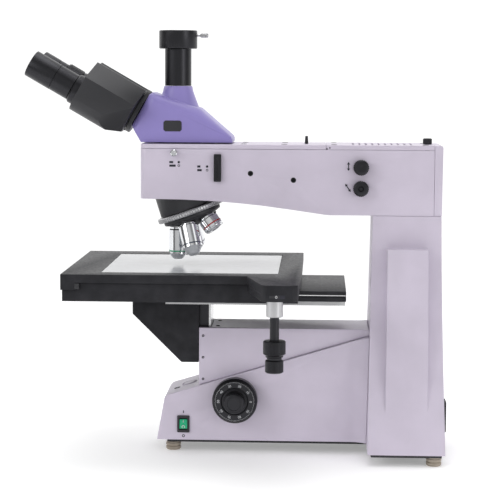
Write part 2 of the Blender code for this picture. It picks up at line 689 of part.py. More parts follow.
def make_focus_slide():
    """Vertical slide, its rails, the rack that the pinion drives, and the stage bracket."""
    front = BLOCK_FRONT_X
    back = front + SLIDE_THICKNESS
    top = BED_BOTTOM_Z - GAP
    bottom = BRACKET_BOTTOM_Z + SLIDE_RISE
    arm_low = bottom + 2
    arm_top = arm_low + RACK_ARM_HEIGHT
    store("focus_slide", box((front, -SLIDE_HALF_WIDTH, bottom), (back, SLIDE_HALF_WIDTH, top)),
          "black_anodised")
    rail_back = back + GAP + RAIL_THICKNESS
    rail = store("slide_rail", box((back + GAP, -SLIDE_HALF_WIDTH, bottom + 4),
                                   (rail_back, SLIDE_HALF_WIDTH, top - 3)), "ground_steel")
    notch = RACK_HALF_WIDTH + 1
    cut(rail, box((back - 1, -notch, bottom), (rail_back + 1, notch, arm_top + 2)))
    rack_x = FOCUS_AXIS_X - FOCUS_PINION_RADIUS - GAP
    rack_low = FOCUS_AXIS_Z - FOCUS_PINION_RADIUS - 2
    outline = [(back + GAP, arm_low), (rack_x - RACK_BAR, arm_low), (rack_x - RACK_BAR, rack_low),
               (rack_x, rack_low), (rack_x, arm_top), (back + GAP, arm_top)]
    store("focus_rack", prism(outline, "Y", -RACK_HALF_WIDTH, RACK_HALF_WIDTH), "gear_brass")
    bracket = [(BRACKET_FRONT_X, top), (BRACKET_FRONT_X, BRACKET_STEP_Z),
               (BRACKET_TOE_X, BRACKET_BOTTOM_Z), (front - GAP, BRACKET_BOTTOM_Z), (front - GAP, top)]
    store("stage_bracket", prism(bracket, "Y", -BRACKET_HALF_WIDTH, BRACKET_HALF_WIDTH),
          "stage_grey")


# ---------------------------------------------------------------- stage

def make_stage_bed():
    """Bottom layer: bed whose raised way, left of the rack, guides the middle layer along Y."""
    top = GUIDE_BOTTOM_Z - GAP
    way_end = RACK_START_X - 4
    low = top - GAP - RACK_HEIGHT - 2 * GAP
    outline = [(-BED_HALF_WIDTH, BED_BOTTOM_Z), (BED_HALF_WIDTH, BED_BOTTOM_Z), (BED_HALF_WIDTH, low),
               (way_end, low), (way_end, top), (-BED_HALF_WIDTH, top)]
    store("stage_bed", prism(outline, "Y", -BED_HALF_DEPTH, BED_HALF_DEPTH), "stage_grey")


def make_stage_guide():
    """Middle layer: plate that slides along Y, with the X rails and the rack below."""
    low = GUIDE_BOTTOM_Z
    mid = low + 4.7
    upper = GUIDE_TOP_Z - 3.4
    half = GUIDE_HALF_DEPTH
    waist = half - 0.6
    outline = [(-half, low), (half, low), (half, mid), (waist, mid), (waist, upper), (half, upper),
               (half, GUIDE_TOP_Z), (-half, GUIDE_TOP_Z), (-half, upper), (-waist, upper),
               (-waist, mid), (-half, mid)]
    store("stage_guide", prism(outline, "X", GUIDE_LEFT_X, GUIDE_RIGHT_X), "stage_grey")
    rack = box((RACK_START_X, -half, low - GAP - RACK_HEIGHT),
               (GUIDE_RIGHT_X - 1, -half + RACK_DEPTH, low - GAP))
    store("stage_rack", rack, "ground_steel")


def stage_plan():
    """Plan outline of the stage top with its knob lug."""
    left, right, deep = STAGE_LEFT_X, STAGE_RIGHT_X, STAGE_HALF_DEPTH
    corner = LUG_CORNER
    return [(left, -deep), (LUG_START_X, -deep), (LUG_LEFT_X, LUG_REACH_Y + corner),
            (LUG_LEFT_X + corner, LUG_REACH_Y), (LUG_RIGHT_X - corner, LUG_REACH_Y),
            (LUG_RIGHT_X, LUG_REACH_Y + corner), (right, -deep), (right, deep), (left, deep)]


def make_stage_top():
    """Top layer: plate with the glass pocket, a left skirt and the hollow knob lug."""
    slab_bottom = STAGE_TOP_Z - STAGE_SLAB
    skirt_bottom = STAGE_TOP_Z - STAGE_SKIRT
    top = store("stage_top", prism(stage_plan(), "Z", slab_bottom, STAGE_TOP_Z), "stage_grey")
    fuse(top, box((STAGE_LEFT_X, -STAGE_HALF_DEPTH, skirt_bottom),
                  (STAGE_LEFT_X + SKIRT_WIDTH, STAGE_HALF_DEPTH, slab_bottom + 1)))
    corner = LUG_CORNER
    low_y = -STAGE_HALF_DEPTH - 1.0
    lug = [(LUG_START_X + 2, low_y), (LUG_LEFT_X, LUG_REACH_Y + corner),
           (LUG_LEFT_X + corner, LUG_REACH_Y), (LUG_RIGHT_X - corner, LUG_REACH_Y),
           (LUG_RIGHT_X, LUG_REACH_Y + corner), (STAGE_RIGHT_X - 2, low_y)]
    fuse(top, prism(lug, "Z", skirt_bottom, slab_bottom + 1))
    pulley = PULLEY_RADIUS + PULLEY_SPACE
    cut(top, box((STAGE_KNOB_X - pulley, STAGE_KNOB_Y - pulley, skirt_bottom + 2),
                 (STAGE_KNOB_X + pulley, low_y + 3, slab_bottom)))
    bore = KNOB_SHAFT_RADIUS + GAP
    cut(top, turned([(0, skirt_bottom - 5), (bore, skirt_bottom - 5), (bore, skirt_bottom + 4),
                     (0, skirt_bottom + 4)],
                    Matrix.Translation((STAGE_KNOB_X, STAGE_KNOB_Y, 0)), 20))
    half = GLASS_SIZE / 2
    pocket = box((GLASS_CENTRE_X - half, GLASS_CENTRE_Y - half, STAGE_TOP_Z - GLASS_THICKNESS - 2 * GAP),
                 (GLASS_CENTRE_X + half, GLASS_CENTRE_Y + half, STAGE_TOP_Z + 5))
    cut(top, pocket)
    hole = half - GLASS_LEDGE
    cut(top, box((GLASS_CENTRE_X - hole, GLASS_CENTRE_Y - hole, slab_bottom - 5),
                 (GLASS_CENTRE_X + hole, GLASS_CENTRE_Y + hole, STAGE_TOP_Z)))


def make_stage_glass():
    """Polished plate in the pocket of the stage top."""
    half = GLASS_SIZE / 2 - GAP
    top = STAGE_TOP_Z - GAP
    glass = box((GLASS_CENTRE_X - half, GLASS_CENTRE_Y - half, top - GLASS_THICKNESS),
                (GLASS_CENTRE_X + half, GLASS_CENTRE_Y + half, top))
    store("stage_glass", glass, "plate_glass")


def make_stage_frame():
    """Channel frame under the top plate that runs on the guide; open at both ends."""
    left = STAGE_LEFT_X + 1.7
    right = STAGE_RIGHT_X - 4.0
    deep = STAGE_HALF_DEPTH - 3.0
    top = STAGE_TOP_Z - STAGE_SLAB - GAP
    skirt = STAGE_TOP_Z - STAGE_SKIRT - GAP
    inner = deep - FRAME_BAR
    runner_low = GUIDE_TOP_Z + GAP
    runner_top = runner_low + 4
    outline = [(-deep, FRAME_BOTTOM_Z), (-inner, FRAME_BOTTOM_Z), (-inner, runner_low),
               (inner, runner_low), (inner, FRAME_BOTTOM_Z), (deep, FRAME_BOTTOM_Z), (deep, top),
               (inner, top), (inner, runner_top), (-inner, runner_top), (-inner, top), (-deep, top)]
    frame = store("stage_frame", prism(outline, "X", left, right), "stage_grey")
    reach = deep + 2
    cut(frame, box((left - 5, -reach, skirt), (STAGE_LEFT_X + SKIRT_WIDTH + GAP, reach, top + 5)))
    window = GLASS_SIZE / 2 - 24
    cut(frame, box((GLASS_CENTRE_X - window, -60, runner_low - 5),
                   (GLASS_CENTRE_X + window, 60, runner_top + 5)))


def make_stage_knobs():
    """Coaxial X and Y knobs hanging from the lug; the X knob turns the pulley inside it."""
    origin = (STAGE_KNOB_X, STAGE_KNOB_Y, STAGE_TOP_Z - STAGE_SKIRT)
    frame = Matrix.Translation((STAGE_KNOB_X, STAGE_KNOB_Y, 0))
    cover_top = STAGE_TOP_Z - STAGE_SKIRT - GAP
    pulley_low = cover_top + 2 + 3 * GAP
    pulley_top = STAGE_TOP_Z - STAGE_SLAB - 1.2
    sleeve_top = cover_top
    sleeve_low = sleeve_top - SLEEVE_LENGTH + 3
    inner = 2.6
    shaft = KNOB_SHAFT_RADIUS
    sleeve = [(STEM_RADIUS + GAP, sleeve_low), (SLEEVE_RADIUS, sleeve_low),
              (SLEEVE_RADIUS, sleeve_top), (STEM_RADIUS + GAP, sleeve_top)]
    store("knob_sleeve", turned(sleeve, frame, closed=True), "bright_chrome", origin)
    upper_low = UPPER_KNOB_TOP_Z - UPPER_KNOB_LENGTH
    upper = [(inner + GAP, upper_low), (UPPER_KNOB_RADIUS - 1, upper_low),
             (UPPER_KNOB_RADIUS, upper_low + 1), (UPPER_KNOB_RADIUS, UPPER_KNOB_TOP_Z - 1),
             (UPPER_KNOB_RADIUS - 1, UPPER_KNOB_TOP_Z), (STEM_RADIUS, UPPER_KNOB_TOP_Z),
             (STEM_RADIUS, sleeve_top - 1), (shaft, sleeve_top), (shaft, pulley_low),
             (PULLEY_RADIUS, pulley_low), (PULLEY_RADIUS, pulley_top), (inner + GAP, pulley_top)]
    store("x_knob", turned(upper, frame, closed=True), "black_anodised", origin)
    lower_top = upper_low - 1.4
    lower_low = lower_top - LOWER_KNOB_LENGTH
    lower = [(0, lower_low), (LOWER_KNOB_RADIUS - 1, lower_low), (LOWER_KNOB_RADIUS, lower_low + 1),
             (LOWER_KNOB_RADIUS, lower_top - 1), (LOWER_KNOB_RADIUS - 1, lower_top),
             (inner, lower_top), (inner, pulley_top - 2), (0, pulley_top - 2)]
    store("y_knob", turned(lower, frame), "black_anodised", origin)


# ---------------------------------------------------------------- arm

def arm_outline(inset, top, end_x):
    """Side outline of the arm between its curved underside and a flat top."""
    start = ARM_FRONT_X + inset
    stations = [start] + [x for x, _ in ARM_UNDERSIDE[1:]]
    under = [(x, arm_bottom_z(x) + inset) for x in stations]
    return under + [(end_x, ARM_BOTTOM_REAR_Z + inset), (end_x, top), (start, top)]


def make_arm():
    """Hollow arm casting, open on top and at the back, with its holes."""
    end_x = BACK_COVER_X - GAP
    plan = rounded_rectangle((ARM_FRONT_X, -ARM_HALF_WIDTH), (end_x + 40, ARM_HALF_WIDTH), ARM_CORNER)
    arm = store("arm_casting", prism(plan, "Z", 280, COVER_BOTTOM_Z - GAP), "lilac_paint")
    keep_common(arm, prism(arm_outline(0, ARM_TOP_Z, end_x), "Y", -60, 60))
    half = ARM_HALF_WIDTH - ARM_WALL
    cut(arm, prism(arm_outline(ARM_WALL, ARM_TOP_Z + 5, end_x + 10), "Y", -half, half))
    mouth = turned([(0, 295), (1, 295), (1, 330), (0, 330)], sides=24)
    for vertex in mouth.verts:
        vertex.co.x = vertex.co.x * MOUTH_HALF_LENGTH + MOUTH_CENTRE_X
        vertex.co.y = vertex.co.y * MOUTH_HALF_WIDTH
    cut(arm, mouth)
    cut(arm, box((252, -24, 280), (298, 24, 300)))
    holes = [(x, z, CENTRING_HOLE_RADIUS) for x, z in CENTRING_PLACES]
    holes += [(LAMP_KNOB_X, z, KNOB_SCREW_RADIUS + GAP) for z in LAMP_KNOB_HEIGHTS]
    holes.append((ANALYSER_X, ANALYSER_Z, ANALYSER_ROD_RADIUS + GAP))
    for x, z, radius in holes:
        frame = aimed((x, -ARM_HALF_WIDTH, z), (0, 1, 0))
        cut(arm, turned([(0, -3), (radius, -3), (radius, 8), (0, 8)], frame, 16))
    cut(arm, box((POLARISER_X - POLARISER_WIDTH / 2, -ARM_HALF_WIDTH - 3, POLARISER_Z - 15),
                 (POLARISER_X + POLARISER_WIDTH / 2, -ARM_HALF_WIDTH + 8, POLARISER_Z + 15)))


def make_arm_covers():
    """Front and vented rear top covers, and the rounded back cover."""
    half = ARM_HALF_WIDTH
    plan = rounded_rectangle((ARM_FRONT_X, -half), (COVER_SPLIT_X + 20, half), ARM_CORNER)
    front = store("arm_front_cover", prism(plan, "Z", COVER_BOTTOM_Z, ARM_TOP_Z), "lilac_paint")
    low = COVER_BOTTOM_Z - 9
    high = ARM_TOP_Z + 5
    hole = LIGHT_HOLE_RADIUS
    slit = LEVER_RADIUS + 1.4
    cut(front, box((COVER_SPLIT_X, -60, low), (COVER_SPLIT_X + 40, 60, high)))
    cut(front, box((IRIS_X - slit, -10, low), (IRIS_X + slit, 10, high)))
    cut(front, turned([(0, low), (hole, low), (hole, high), (0, high)]))
    rear = store("arm_rear_cover", box((COVER_SPLIT_X + GAP, -half, COVER_BOTTOM_Z),
                                       (BACK_COVER_X - GAP, half, ARM_TOP_Z)), "lilac_paint")
    for index in range(VENT_COUNT):
        x = VENT_START_X + index * VENT_PITCH
        cut(rear, box((x - VENT_HALF_WIDTH, -VENT_HALF_LENGTH, low),
                      (x + VENT_HALF_WIDTH, VENT_HALF_LENGTH, high)))
    knob_hole = KNOB_SCREW_RADIUS + GAP
    cut(rear, turned([(0, low), (knob_hole, low), (knob_hole, high), (0, high)],
                     Matrix.Translation((REAR_KNOB_X, 0, 0)), 16))
    top = ARM_TOP_Z
    corner = 2.5
    outline = [(BACK_COVER_X, ARM_BOTTOM_REAR_Z), (BACK_COVER_END_X - 0.6, ARM_BOTTOM_REAR_Z),
               (BACK_COVER_END_X, top - corner), (BACK_COVER_END_X - 0.7, top - 0.7),
               (BACK_COVER_END_X - corner, top), (BACK_COVER_X, top)]
    store("arm_back_cover", prism(outline, "Y", -half, half), "lilac_paint")


def make_illuminator():
    """Lamp house, iris with its lever, and mirror block, inside the arm."""
    store("lamp_house", box(LAMP_HOUSE_LOW, LAMP_HOUSE_HIGH), "bare_aluminium")
    frame = aimed((0, 0, ILLUMINATION_Z), (1, 0, 0))
    near = IRIS_X - IRIS_THICKNESS / 2
    far = IRIS_X + IRIS_THICKNESS / 2
    ring = turned([(9, near), (IRIS_RADIUS, near), (IRIS_RADIUS, far), (9, far)], frame, closed=True)
    iris = store("iris_lever", ring, "black_plastic", (IRIS_X, 0, ILLUMINATION_Z))
    foot = ILLUMINATION_Z + IRIS_RADIUS - 5
    lever = turned([(0, foot), (LEVER_RADIUS, foot), (LEVER_RADIUS, ARM_TOP_Z + 0.5),
                    (LEVER_RADIUS + 0.6, ARM_TOP_Z + 0.5), (LEVER_RADIUS, LEVER_TOP_Z), (0, LEVER_TOP_Z)],
                   Matrix.Translation((IRIS_X, 0, 0)), 16)
    fuse(iris, lever)
    block = store("mirror_block", box(MIRROR_LOW, MIRROR_HIGH), "black_anodised")
    cut(block, turned([(0, 300), (11, 300), (11, 370), (0, 370)], sides=20))


def make_arm_controls():
    """Push-pull rods, centring screws, lamp knobs and the cover knob on the arm."""
    face = -ARM_HALF_WIDTH
    frame = aimed((ANALYSER_X, face, ANALYSER_Z), (0, -1, 0))
    rod = ANALYSER_ROD_RADIUS
    knob = ANALYSER_KNOB_RADIUS
    profile = [(0, -34), (rod, -34), (rod, 1.2), (knob - 0.6, 1.2), (knob, 1.8), (knob, 6.4),
               (knob - 1.2, 7.4), (0, 7.4)]
    store("analyser_rod", turned(profile, frame), "bright_chrome", (ANALYSER_X, face, ANALYSER_Z))
    half_w = POLARISER_WIDTH / 2
    half_h = POLARISER_HEIGHT / 2
    outline = rounded_rectangle((POLARISER_X - half_w, POLARISER_Z - half_h),
                                (POLARISER_X + half_w, POLARISER_Z + half_h), 1.0, 2)
    slider = store("polariser_slider", prism(outline, "Y", face - GAP - POLARISER_PROUD, face - GAP),
                   "black_anodised", (POLARISER_X, face, POLARISER_Z))
    fuse(slider, box((POLARISER_X - half_w + GAP, face - 2, POLARISER_Z - 15 + GAP),
                     (POLARISER_X + half_w - GAP, face + 62, POLARISER_Z + 15 - GAP)))
    cut(slider, turned([(0, -20), (10.5, -20), (10.5, 20), (0, 20)],
                       aimed((POLARISER_X, face + 44, ILLUMINATION_Z), (1, 0, 0)), 20))
    for name, z in zip(("lamp_knob_upper", "lamp_knob_lower"), LAMP_KNOB_HEIGHTS):
        frame = aimed((LAMP_KNOB_X, face, z), (0, -1, 0))
        top = LAMP_KNOB_DEPTH
        radius = LAMP_KNOB_RADIUS
        stem = KNOB_SCREW_RADIUS
        profile = [(0, -12), (stem, -12), (stem, 1), (radius - 0.8, 1), (radius, 1.8),
                   (radius, top - 1.6), (radius - 1.6, top), (0, top + 0.6)]
        store(name, turned(profile, frame), "black_anodised", (LAMP_KNOB_X, face, z))
    frame = Matrix.Translation((REAR_KNOB_X, 0, ARM_TOP_Z))
    radius = REAR_KNOB_SIZE / 2
    stem = KNOB_SCREW_RADIUS
    profile = [(0, -8), (stem, -8), (stem, GAP), (radius, GAP), (radius, REAR_KNOB_HEIGHT - 0.6),
               (radius - 0.6, REAR_KNOB_HEIGHT), (0, REAR_KNOB_HEIGHT)]
    store("cover_knob", turned(profile, frame), "black_plastic", (REAR_KNOB_X, 0, ARM_TOP_Z))


# ---------------------------------------------------------------- nosepiece

def make_nosepiece_body():
    """Fixed body: flange on the arm's floor, then an oblique cone down to the turret."""
    pivot = Vector((0, 0, TURRET_PIVOT_Z))
    axis = turret_axis()
    centre = pivot + axis * (RING_START - 0.8)
    across = Vector((math.cos(TURRET_TILT), 0, math.sin(TURRET_TILT)))
    sides = FINE_ROUND
    lower = []
    upper = []
    flange_z = arm_bottom_z(ARM_FRONT_X) + ARM_WALL + GAP
    for index in range(sides):
        angle = 2 * math.pi * index / sides
        c, s = math.cos(angle), math.sin(angle)
        lower.append(centre + NOSE_BODY_RADIUS * (c * across + Vector((0, s, 0))))
        upper.append(Vector((10.5 + 41.0 * c, 37.2 * s, flange_z + 1)))
    body = store("nosepiece_body", loft(bmesh.new(), [lower, upper]), "black_paint")
    flange = rounded_rectangle((-36, -39.4), (68, 39.4), 6)
    fuse(body, prism(flange, "Z", flange_z, flange_z + 5))
    cut(body, turned([(0, 280), (10, 280), (10, 330), (0, 330)], sides=20))


def turret_frame():
    """Frame with its origin at the pivot and Z down the turret's axis."""
    return aimed((0, 0, TURRET_PIVOT_Z), turret_axis())


def make_turret():
    """Knurled ring and the dish that carries the objectives; both turn together."""
    frame = turret_frame()
    origin = (0, 0, TURRET_PIVOT_Z)
    end = RING_START + RING_THICKNESS
    ring = [(DISH_RADIUS - 1.5 + GAP, RING_START), (RING_RADIUS - 1, RING_START),
            (RING_RADIUS, RING_START + 1), (RING_RADIUS, end - 1), (RING_RADIUS - 1, end),
            (DISH_RADIUS - 1.5 + GAP, end)]
    store("turret_ring", turned(ring, frame, FINE_ROUND, closed=True), "ground_steel", origin)
    slope = math.tan(TURRET_TILT)
    apex = SEAT_DISTANCE / math.cos(TURRET_TILT)
    cone_edge = apex - DISH_RADIUS * slope
    flat = 6.0
    dish = [(0, RING_START + 0.4), (DISH_RADIUS - 1.5, RING_START + 0.4), (DISH_RADIUS - 1.5, end + GAP),
            (DISH_RADIUS, end + GAP), (DISH_RADIUS, cone_edge), (flat, apex - flat * slope),
            (0, apex - flat * slope)]
    store("turret_dish", turned(dish, frame, FINE_ROUND), "black_paint", origin)


def seat_direction(index):
    """Direction of one objective's axis; number 0 points straight down."""
    turn = Matrix.Rotation(-2 * math.pi * index / OBJECTIVE_COUNT, 3, turret_axis())
    return turn @ Vector((0, 0, -1))


def objective_profile(length, radius, tip_radius, nose):
    """Outline of an objective from its shoulder to its front lens."""
    start = SEAT_DISTANCE + GAP
    return [(0, start), (9.6, start), (9.6, start + 2.5), (radius, start + 3.5),
            (radius, start + length - nose), (radius - 1.2, start + length - nose + 1.4),
            (tip_radius, start + length - 1.0), (tip_radius - 1.2, start + length), (0, start + length)]


def make_objectives():
    """Four objectives and a dust plug, one on each seat of the turret."""
    origin = (0, 0, TURRET_PIVOT_Z)
    kinds = [("objective_20x", 39.4, 11.1, 6.0, 6.5), ("objective_50x", 39.2, 12.2, 6.2, 9.0),
             ("objective_5x", 18.0, 12.6, 10.6, 2.8), None, ("objective_10x", 36.0, 11.8, 6.5, 6.0)]
    for index, kind in enumerate(kinds):
        frame = aimed(origin, seat_direction(index))
        if kind:
            name, length, radius, tip, nose = kind
            store(name, turned(objective_profile(length, radius, tip, nose), frame),
                  "bright_chrome", origin)
        else:
            start = SEAT_DISTANCE + GAP
            plug = [(0, start), (10.4, start), (10.4, start + 3), (9.6, start + 4), (0, start + 4)]
            store("seat_plug", turned(plug, frame), "black_plastic", origin)


# ---------------------------------------------------------------- trinocular head

def make_head():
    """Violet housing, hollow inside, with its mounting boss below."""
    face_low = view_point(HUB_SEAT, -17)
    face_high = view_point(HUB_SEAT, 26)
    low = HEAD_BOTTOM_Z
    neck = PHOTO_TUBE_RADIUS + 0.6
    outline = [(ARM_FRONT_X, low), (face_low.x, face_low.z), (face_high.x, face_high.z),
               (-neck, HEAD_TOP_Z), (neck, HEAD_TOP_Z), (neck + 9.3, low + 43.1), (neck + 12.3, low + 40.1),
               (67.9, low + 5.5), (67.9, low)]
    head = store("head_housing", prism(outline, "Y", -HEAD_HALF_WIDTH, HEAD_HALF_WIDTH),
                 "violet_paint", (0, 0, HEAD_BOTTOM_Z))
    half = HEAD_HALF_WIDTH
    top_half = PHOTO_TUBE_RADIUS + BOSS_MARGIN
    above = HEAD_TOP_Z + 6
    across = [(-half, low - 7), (half, low - 7), (half, low + 27), (top_half, HEAD_TOP_Z + 0.01),
              (top_half, above), (-top_half, above), (-top_half, HEAD_TOP_Z + 0.01), (-half, low + 27)]
    keep_common(head, prism(across, "X", -80, 90))
    hollow = [(ARM_FRONT_X + 6, low + 6), (-40, low + 27), (-26, low + 55), (14, low + 55),
              (22, low + 35), (58, low + 6)]
    half = HEAD_HALF_WIDTH - HEAD_WALL - 6
    cut(head, prism(hollow, "Y", -half, half))
    seat = ARM_TOP_Z + GAP
    fuse(head, turned([(0, seat), (30, seat), (30, low + 2), (0, low + 2)], sides=FINE_ROUND))
    hole = LIGHT_HOLE_RADIUS
    cut(head, turned([(0, low - 7), (hole, low - 7), (hole, low + 13), (0, low + 13)]))
    bore = PHOTO_TUBE_RADIUS - 3
    cut(head, turned([(0, low + 48), (bore, low + 48), (bore, above), (0, above)]))
    cut(head, turned([(0, -15), (12, -15), (12, 6), (0, 6)], view_frame()))


def make_hub():
    """Hinge hub of the binocular tube with its flange."""
    end = HUB_END
    seat = HUB_SEAT + GAP
    hub = [(0, seat), (FLANGE_RADIUS, seat), (FLANGE_RADIUS, FLANGE_THICKNESS),
           (HUB_RADIUS, FLANGE_THICKNESS), (HUB_RADIUS, end - 1.5), (HUB_RADIUS - 1.5, end), (0, end)]
    store("binocular_hub", turned(hub, view_frame(), FINE_ROUND), "black_paint")


def wing_section(sign, steps=12):
    """Cross-section of a prism barrel: round below, flat outside, sloping roof."""
    centre_y = sign * EYE_HALF_SPACING
    points = [(sign * (WING_ROOF_Y - 4), WING_ROOF_HEIGHT - 3), (sign * WING_ROOF_Y, WING_ROOF_HEIGHT),
              (sign * WING_FLAT_Y, 6.8), (sign * WING_FLAT_Y, -6.0)]
    first = math.radians(20)
    last = math.radians(185)
    for step in range(steps + 1):
        angle = first + (last - first) * step / steps
        points.append((centre_y + sign * BARREL_RADIUS * math.cos(-angle),
                       -EYE_DROP + BARREL_RADIUS * math.sin(-angle)))
    return points


def wing_facet(along, sign):
    """Section of the wedge that bevels the outer lower corner of a barrel's inner end."""
    lean = math.radians(FACET_LEAN)
    outward = (sign * math.cos(lean), -math.sin(lean))
    down = (-sign * math.sin(lean), -math.cos(lean))
    depth = FACET_START + FACET_SLOPE * along
    corners = [(depth, -60), (depth, 90), (depth + 60, 90), (depth + 60, -60)]
    return [view_point(along, outward[1] * a + down[1] * b, outward[0] * a + down[0] * b)
            for a, b in corners]


def make_wings():
    """Two prism barrels that swing about the hub to set the eye distance."""
    for side, sign in (("right", -1), ("left", 1)):
        section = wing_section(sign)
        start = FLANGE_THICKNESS + 0.8
        loops = [[view_point(along, height, y) for y, height in section] for along in (start, HUB_END)]
        hub_origin = tuple(view_point(0))
        wing = store(f"prism_barrel_{side}", loft(bmesh.new(), loops), "black_paint", hub_origin)
        cut(wing, loft(bmesh.new(), [wing_facet(along, sign) for along in (-5, 45)]))
        corner = [view_point(along, height, -80) for along, height in WING_CHAMFER]
        cut(wing, loft(bmesh.new(), [corner, [point + Vector((0, 160, 0)) for point in corner]]))
        clear = HUB_RADIUS + 0.5
        cut(wing, turned([(0, -5), (clear, -5), (clear, HUB_END + 5), (0, HUB_END + 5)],
                         view_frame(), FINE_ROUND))


def make_eyetubes():
    """Fixed eyetubes, the diopter ring of the left one, and both eyepieces."""
    bore = EYEPIECE_INSERT_RADIUS + 0.05
    sleeve = bore + EYETUBE_WALL
    start = HUB_END + GAP
    for side, sign in (("right", -1), ("left", 1)):
        frame = view_frame(sign * EYE_HALF_SPACING, -EYE_DROP)
        origin = tuple(view_point(0, -EYE_DROP, sign * EYE_HALF_SPACING))
        if side == "right":
            eye_start = start + COLLAR_LENGTH + GAP
            collar = [(COLLAR_RADIUS, start), (COLLAR_RADIUS, start + COLLAR_LENGTH - 1),
                      (COLLAR_RADIUS - 1, start + COLLAR_LENGTH)]
            tube_end = start + COLLAR_LENGTH
        else:
            eye_start = DIOPTER_END + GAP
            tube_end = DIOPTER_END
            collar = [(COLLAR_RADIUS, start), (COLLAR_RADIUS, DIOPTER_START - 1 - GAP),
                      (COLLAR_RADIUS - 1, DIOPTER_START - GAP), (sleeve, DIOPTER_START - GAP),
                      (sleeve, tube_end)]
        profile = [(bore, start)] + collar + [(bore, tube_end)]
        store(f"eyetube_{side}", turned(profile, frame, closed=True), "black_anodised", origin)
        groove = EYEPIECE_GROOVE if side == "right" else EYEPIECE_GROOVE + 12
        radius = EYEPIECE_RADIUS
        lens_bore = EYE_LENS_RADIUS
        profile = [(4, start + 1), (EYEPIECE_INSERT_RADIUS, start + 1),
                   (EYEPIECE_INSERT_RADIUS, eye_start), (radius - 0.6, eye_start),
                   (radius - 0.3, groove - 1), (radius - 1, groove), (radius, groove + 1),
                   (radius, EYEPIECE_END - 0.8), (radius - 0.8, EYEPIECE_END),
                   (lens_bore, EYEPIECE_END), (lens_bore, EYEPIECE_END - LENS_RECESS),
                   (4, EYEPIECE_END - LENS_RECESS)]
        store(f"eyepiece_{side}", turned(profile, frame, closed=True), "black_anodised", origin)
    frame = view_frame(EYE_HALF_SPACING, -EYE_DROP)
    ring_bore = sleeve + GAP
    ring = [(ring_bore, DIOPTER_START), (DIOPTER_RADIUS, DIOPTER_START), (DIOPTER_RADIUS, DIOPTER_END - 1),
            (DIOPTER_RADIUS - 1, DIOPTER_END), (ring_bore, DIOPTER_END)]
    store("diopter_ring", turned(ring, frame, closed=True), "black_anodised",
          tuple(view_point(0, -EYE_DROP, EYE_HALF_SPACING)))


def make_photo_port():
    """Vertical photo tube, camera ring with a side bore, and its clamping thumbscrew."""
    low = HEAD_TOP_Z + GAP
    tube = [(PHOTO_BORE_RADIUS, low), (PHOTO_TUBE_RADIUS, low), (PHOTO_TUBE_RADIUS, PHOTO_TUBE_TOP_Z),
            (PHOTO_BORE_RADIUS, PHOTO_TUBE_TOP_Z)]
    store("photo_tube", turned(tube, closed=True), "black_anodised")
    low = PHOTO_TUBE_TOP_Z + GAP
    floor = low + 3
    ring = [(PHOTO_BORE_RADIUS, low), (PORT_RADIUS - 0.6, low), (PORT_RADIUS, low + 0.6),
            (PORT_RADIUS, PORT_TOP_Z - 0.8), (PORT_RADIUS - 0.8, PORT_TOP_Z),
            (PORT_BORE_RADIUS, PORT_TOP_Z), (PORT_BORE_RADIUS, floor), (PHOTO_BORE_RADIUS, floor)]
    port = store("camera_ring", turned(ring, sides=FINE_ROUND, closed=True), "black_anodised")
    frame = aimed((0, 0, THUMBSCREW_Z), (1, 0, 0))
    shank = 1.5
    cut(port, turned([(0, 10), (shank + GAP, 10), (shank + GAP, 30), (0, 30)], frame, 16))
    head = PORT_RADIUS + 4.0
    end = head + THUMBSCREW_LENGTH
    profile = [(0, PORT_BORE_RADIUS + 0.3), (shank, PORT_BORE_RADIUS + 0.3), (shank, head),
               (THUMBSCREW_RADIUS, head), (THUMBSCREW_RADIUS, end - 0.5), (THUMBSCREW_RADIUS - 0.5, end),
               (0, end)]
    store("port_thumbscrew", turned(profile, frame, 20), "black_anodised", (0, 0, THUMBSCREW_Z))


# ---------------------------------------------------------------- assembly

def stand_on_origin():
    """Move every object so that the model's box stands centred on the origin."""
    bpy.context.view_layer.update()
    graph = bpy.context.evaluated_depsgraph_get()
    low = Vector((1e9, 1e9, 1e9))
    high = -low
    for obj in bpy.context.scene.objects:
        if obj.type != "MESH" or obj.hide_render:
            continue
        shape = obj.evaluated_get(graph)
        for corner in shape.bound_box:
            point = shape.matrix_world @ Vector(corner)
            low = Vector(map(min, low, point))
            high = Vector(map(max, high, point))
    shift = Vector(((low.x + high.x) / 2, (low.y + high.y) / 2, low.z))
    for obj in bpy.context.scene.objects:
        obj.location -= shift
    print("optical axis at", tuple(round(-value, 6) for value in shift))


def main():
    for obj in list(bpy.data.objects):
        bpy.data.objects.remove(obj, do_unlink=True)
    for name, (colour, roughness, metallic) in FINISHES.items():
        finish_material(name, colour, roughness, metallic)
    make_base()
    make_base_plate()
    make_feet()
    make_column()
    make_inlet()
    make_switch()
    make_block()
    make_coarse_drive()
    make_fine_drive()
    make_focus_slide()
    make_stage_bed()
    make_stage_guide()
    make_stage_top()
    make_stage_glass()
    make_stage_frame()
    make_stage_knobs()
    make_arm()
    make_arm_covers()
    make_illuminator()
    make_arm_controls()
    make_nosepiece_body()
    make_turret()
    make_objectives()
    make_head()
    make_hub()
    make_wings()
    make_eyetubes()
    make_photo_port()
    stand_on_origin()


main()
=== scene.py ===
"""Reflected-light microscope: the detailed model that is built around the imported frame."""

import json
import math

import bpy
from mathutils import Matrix, Vector

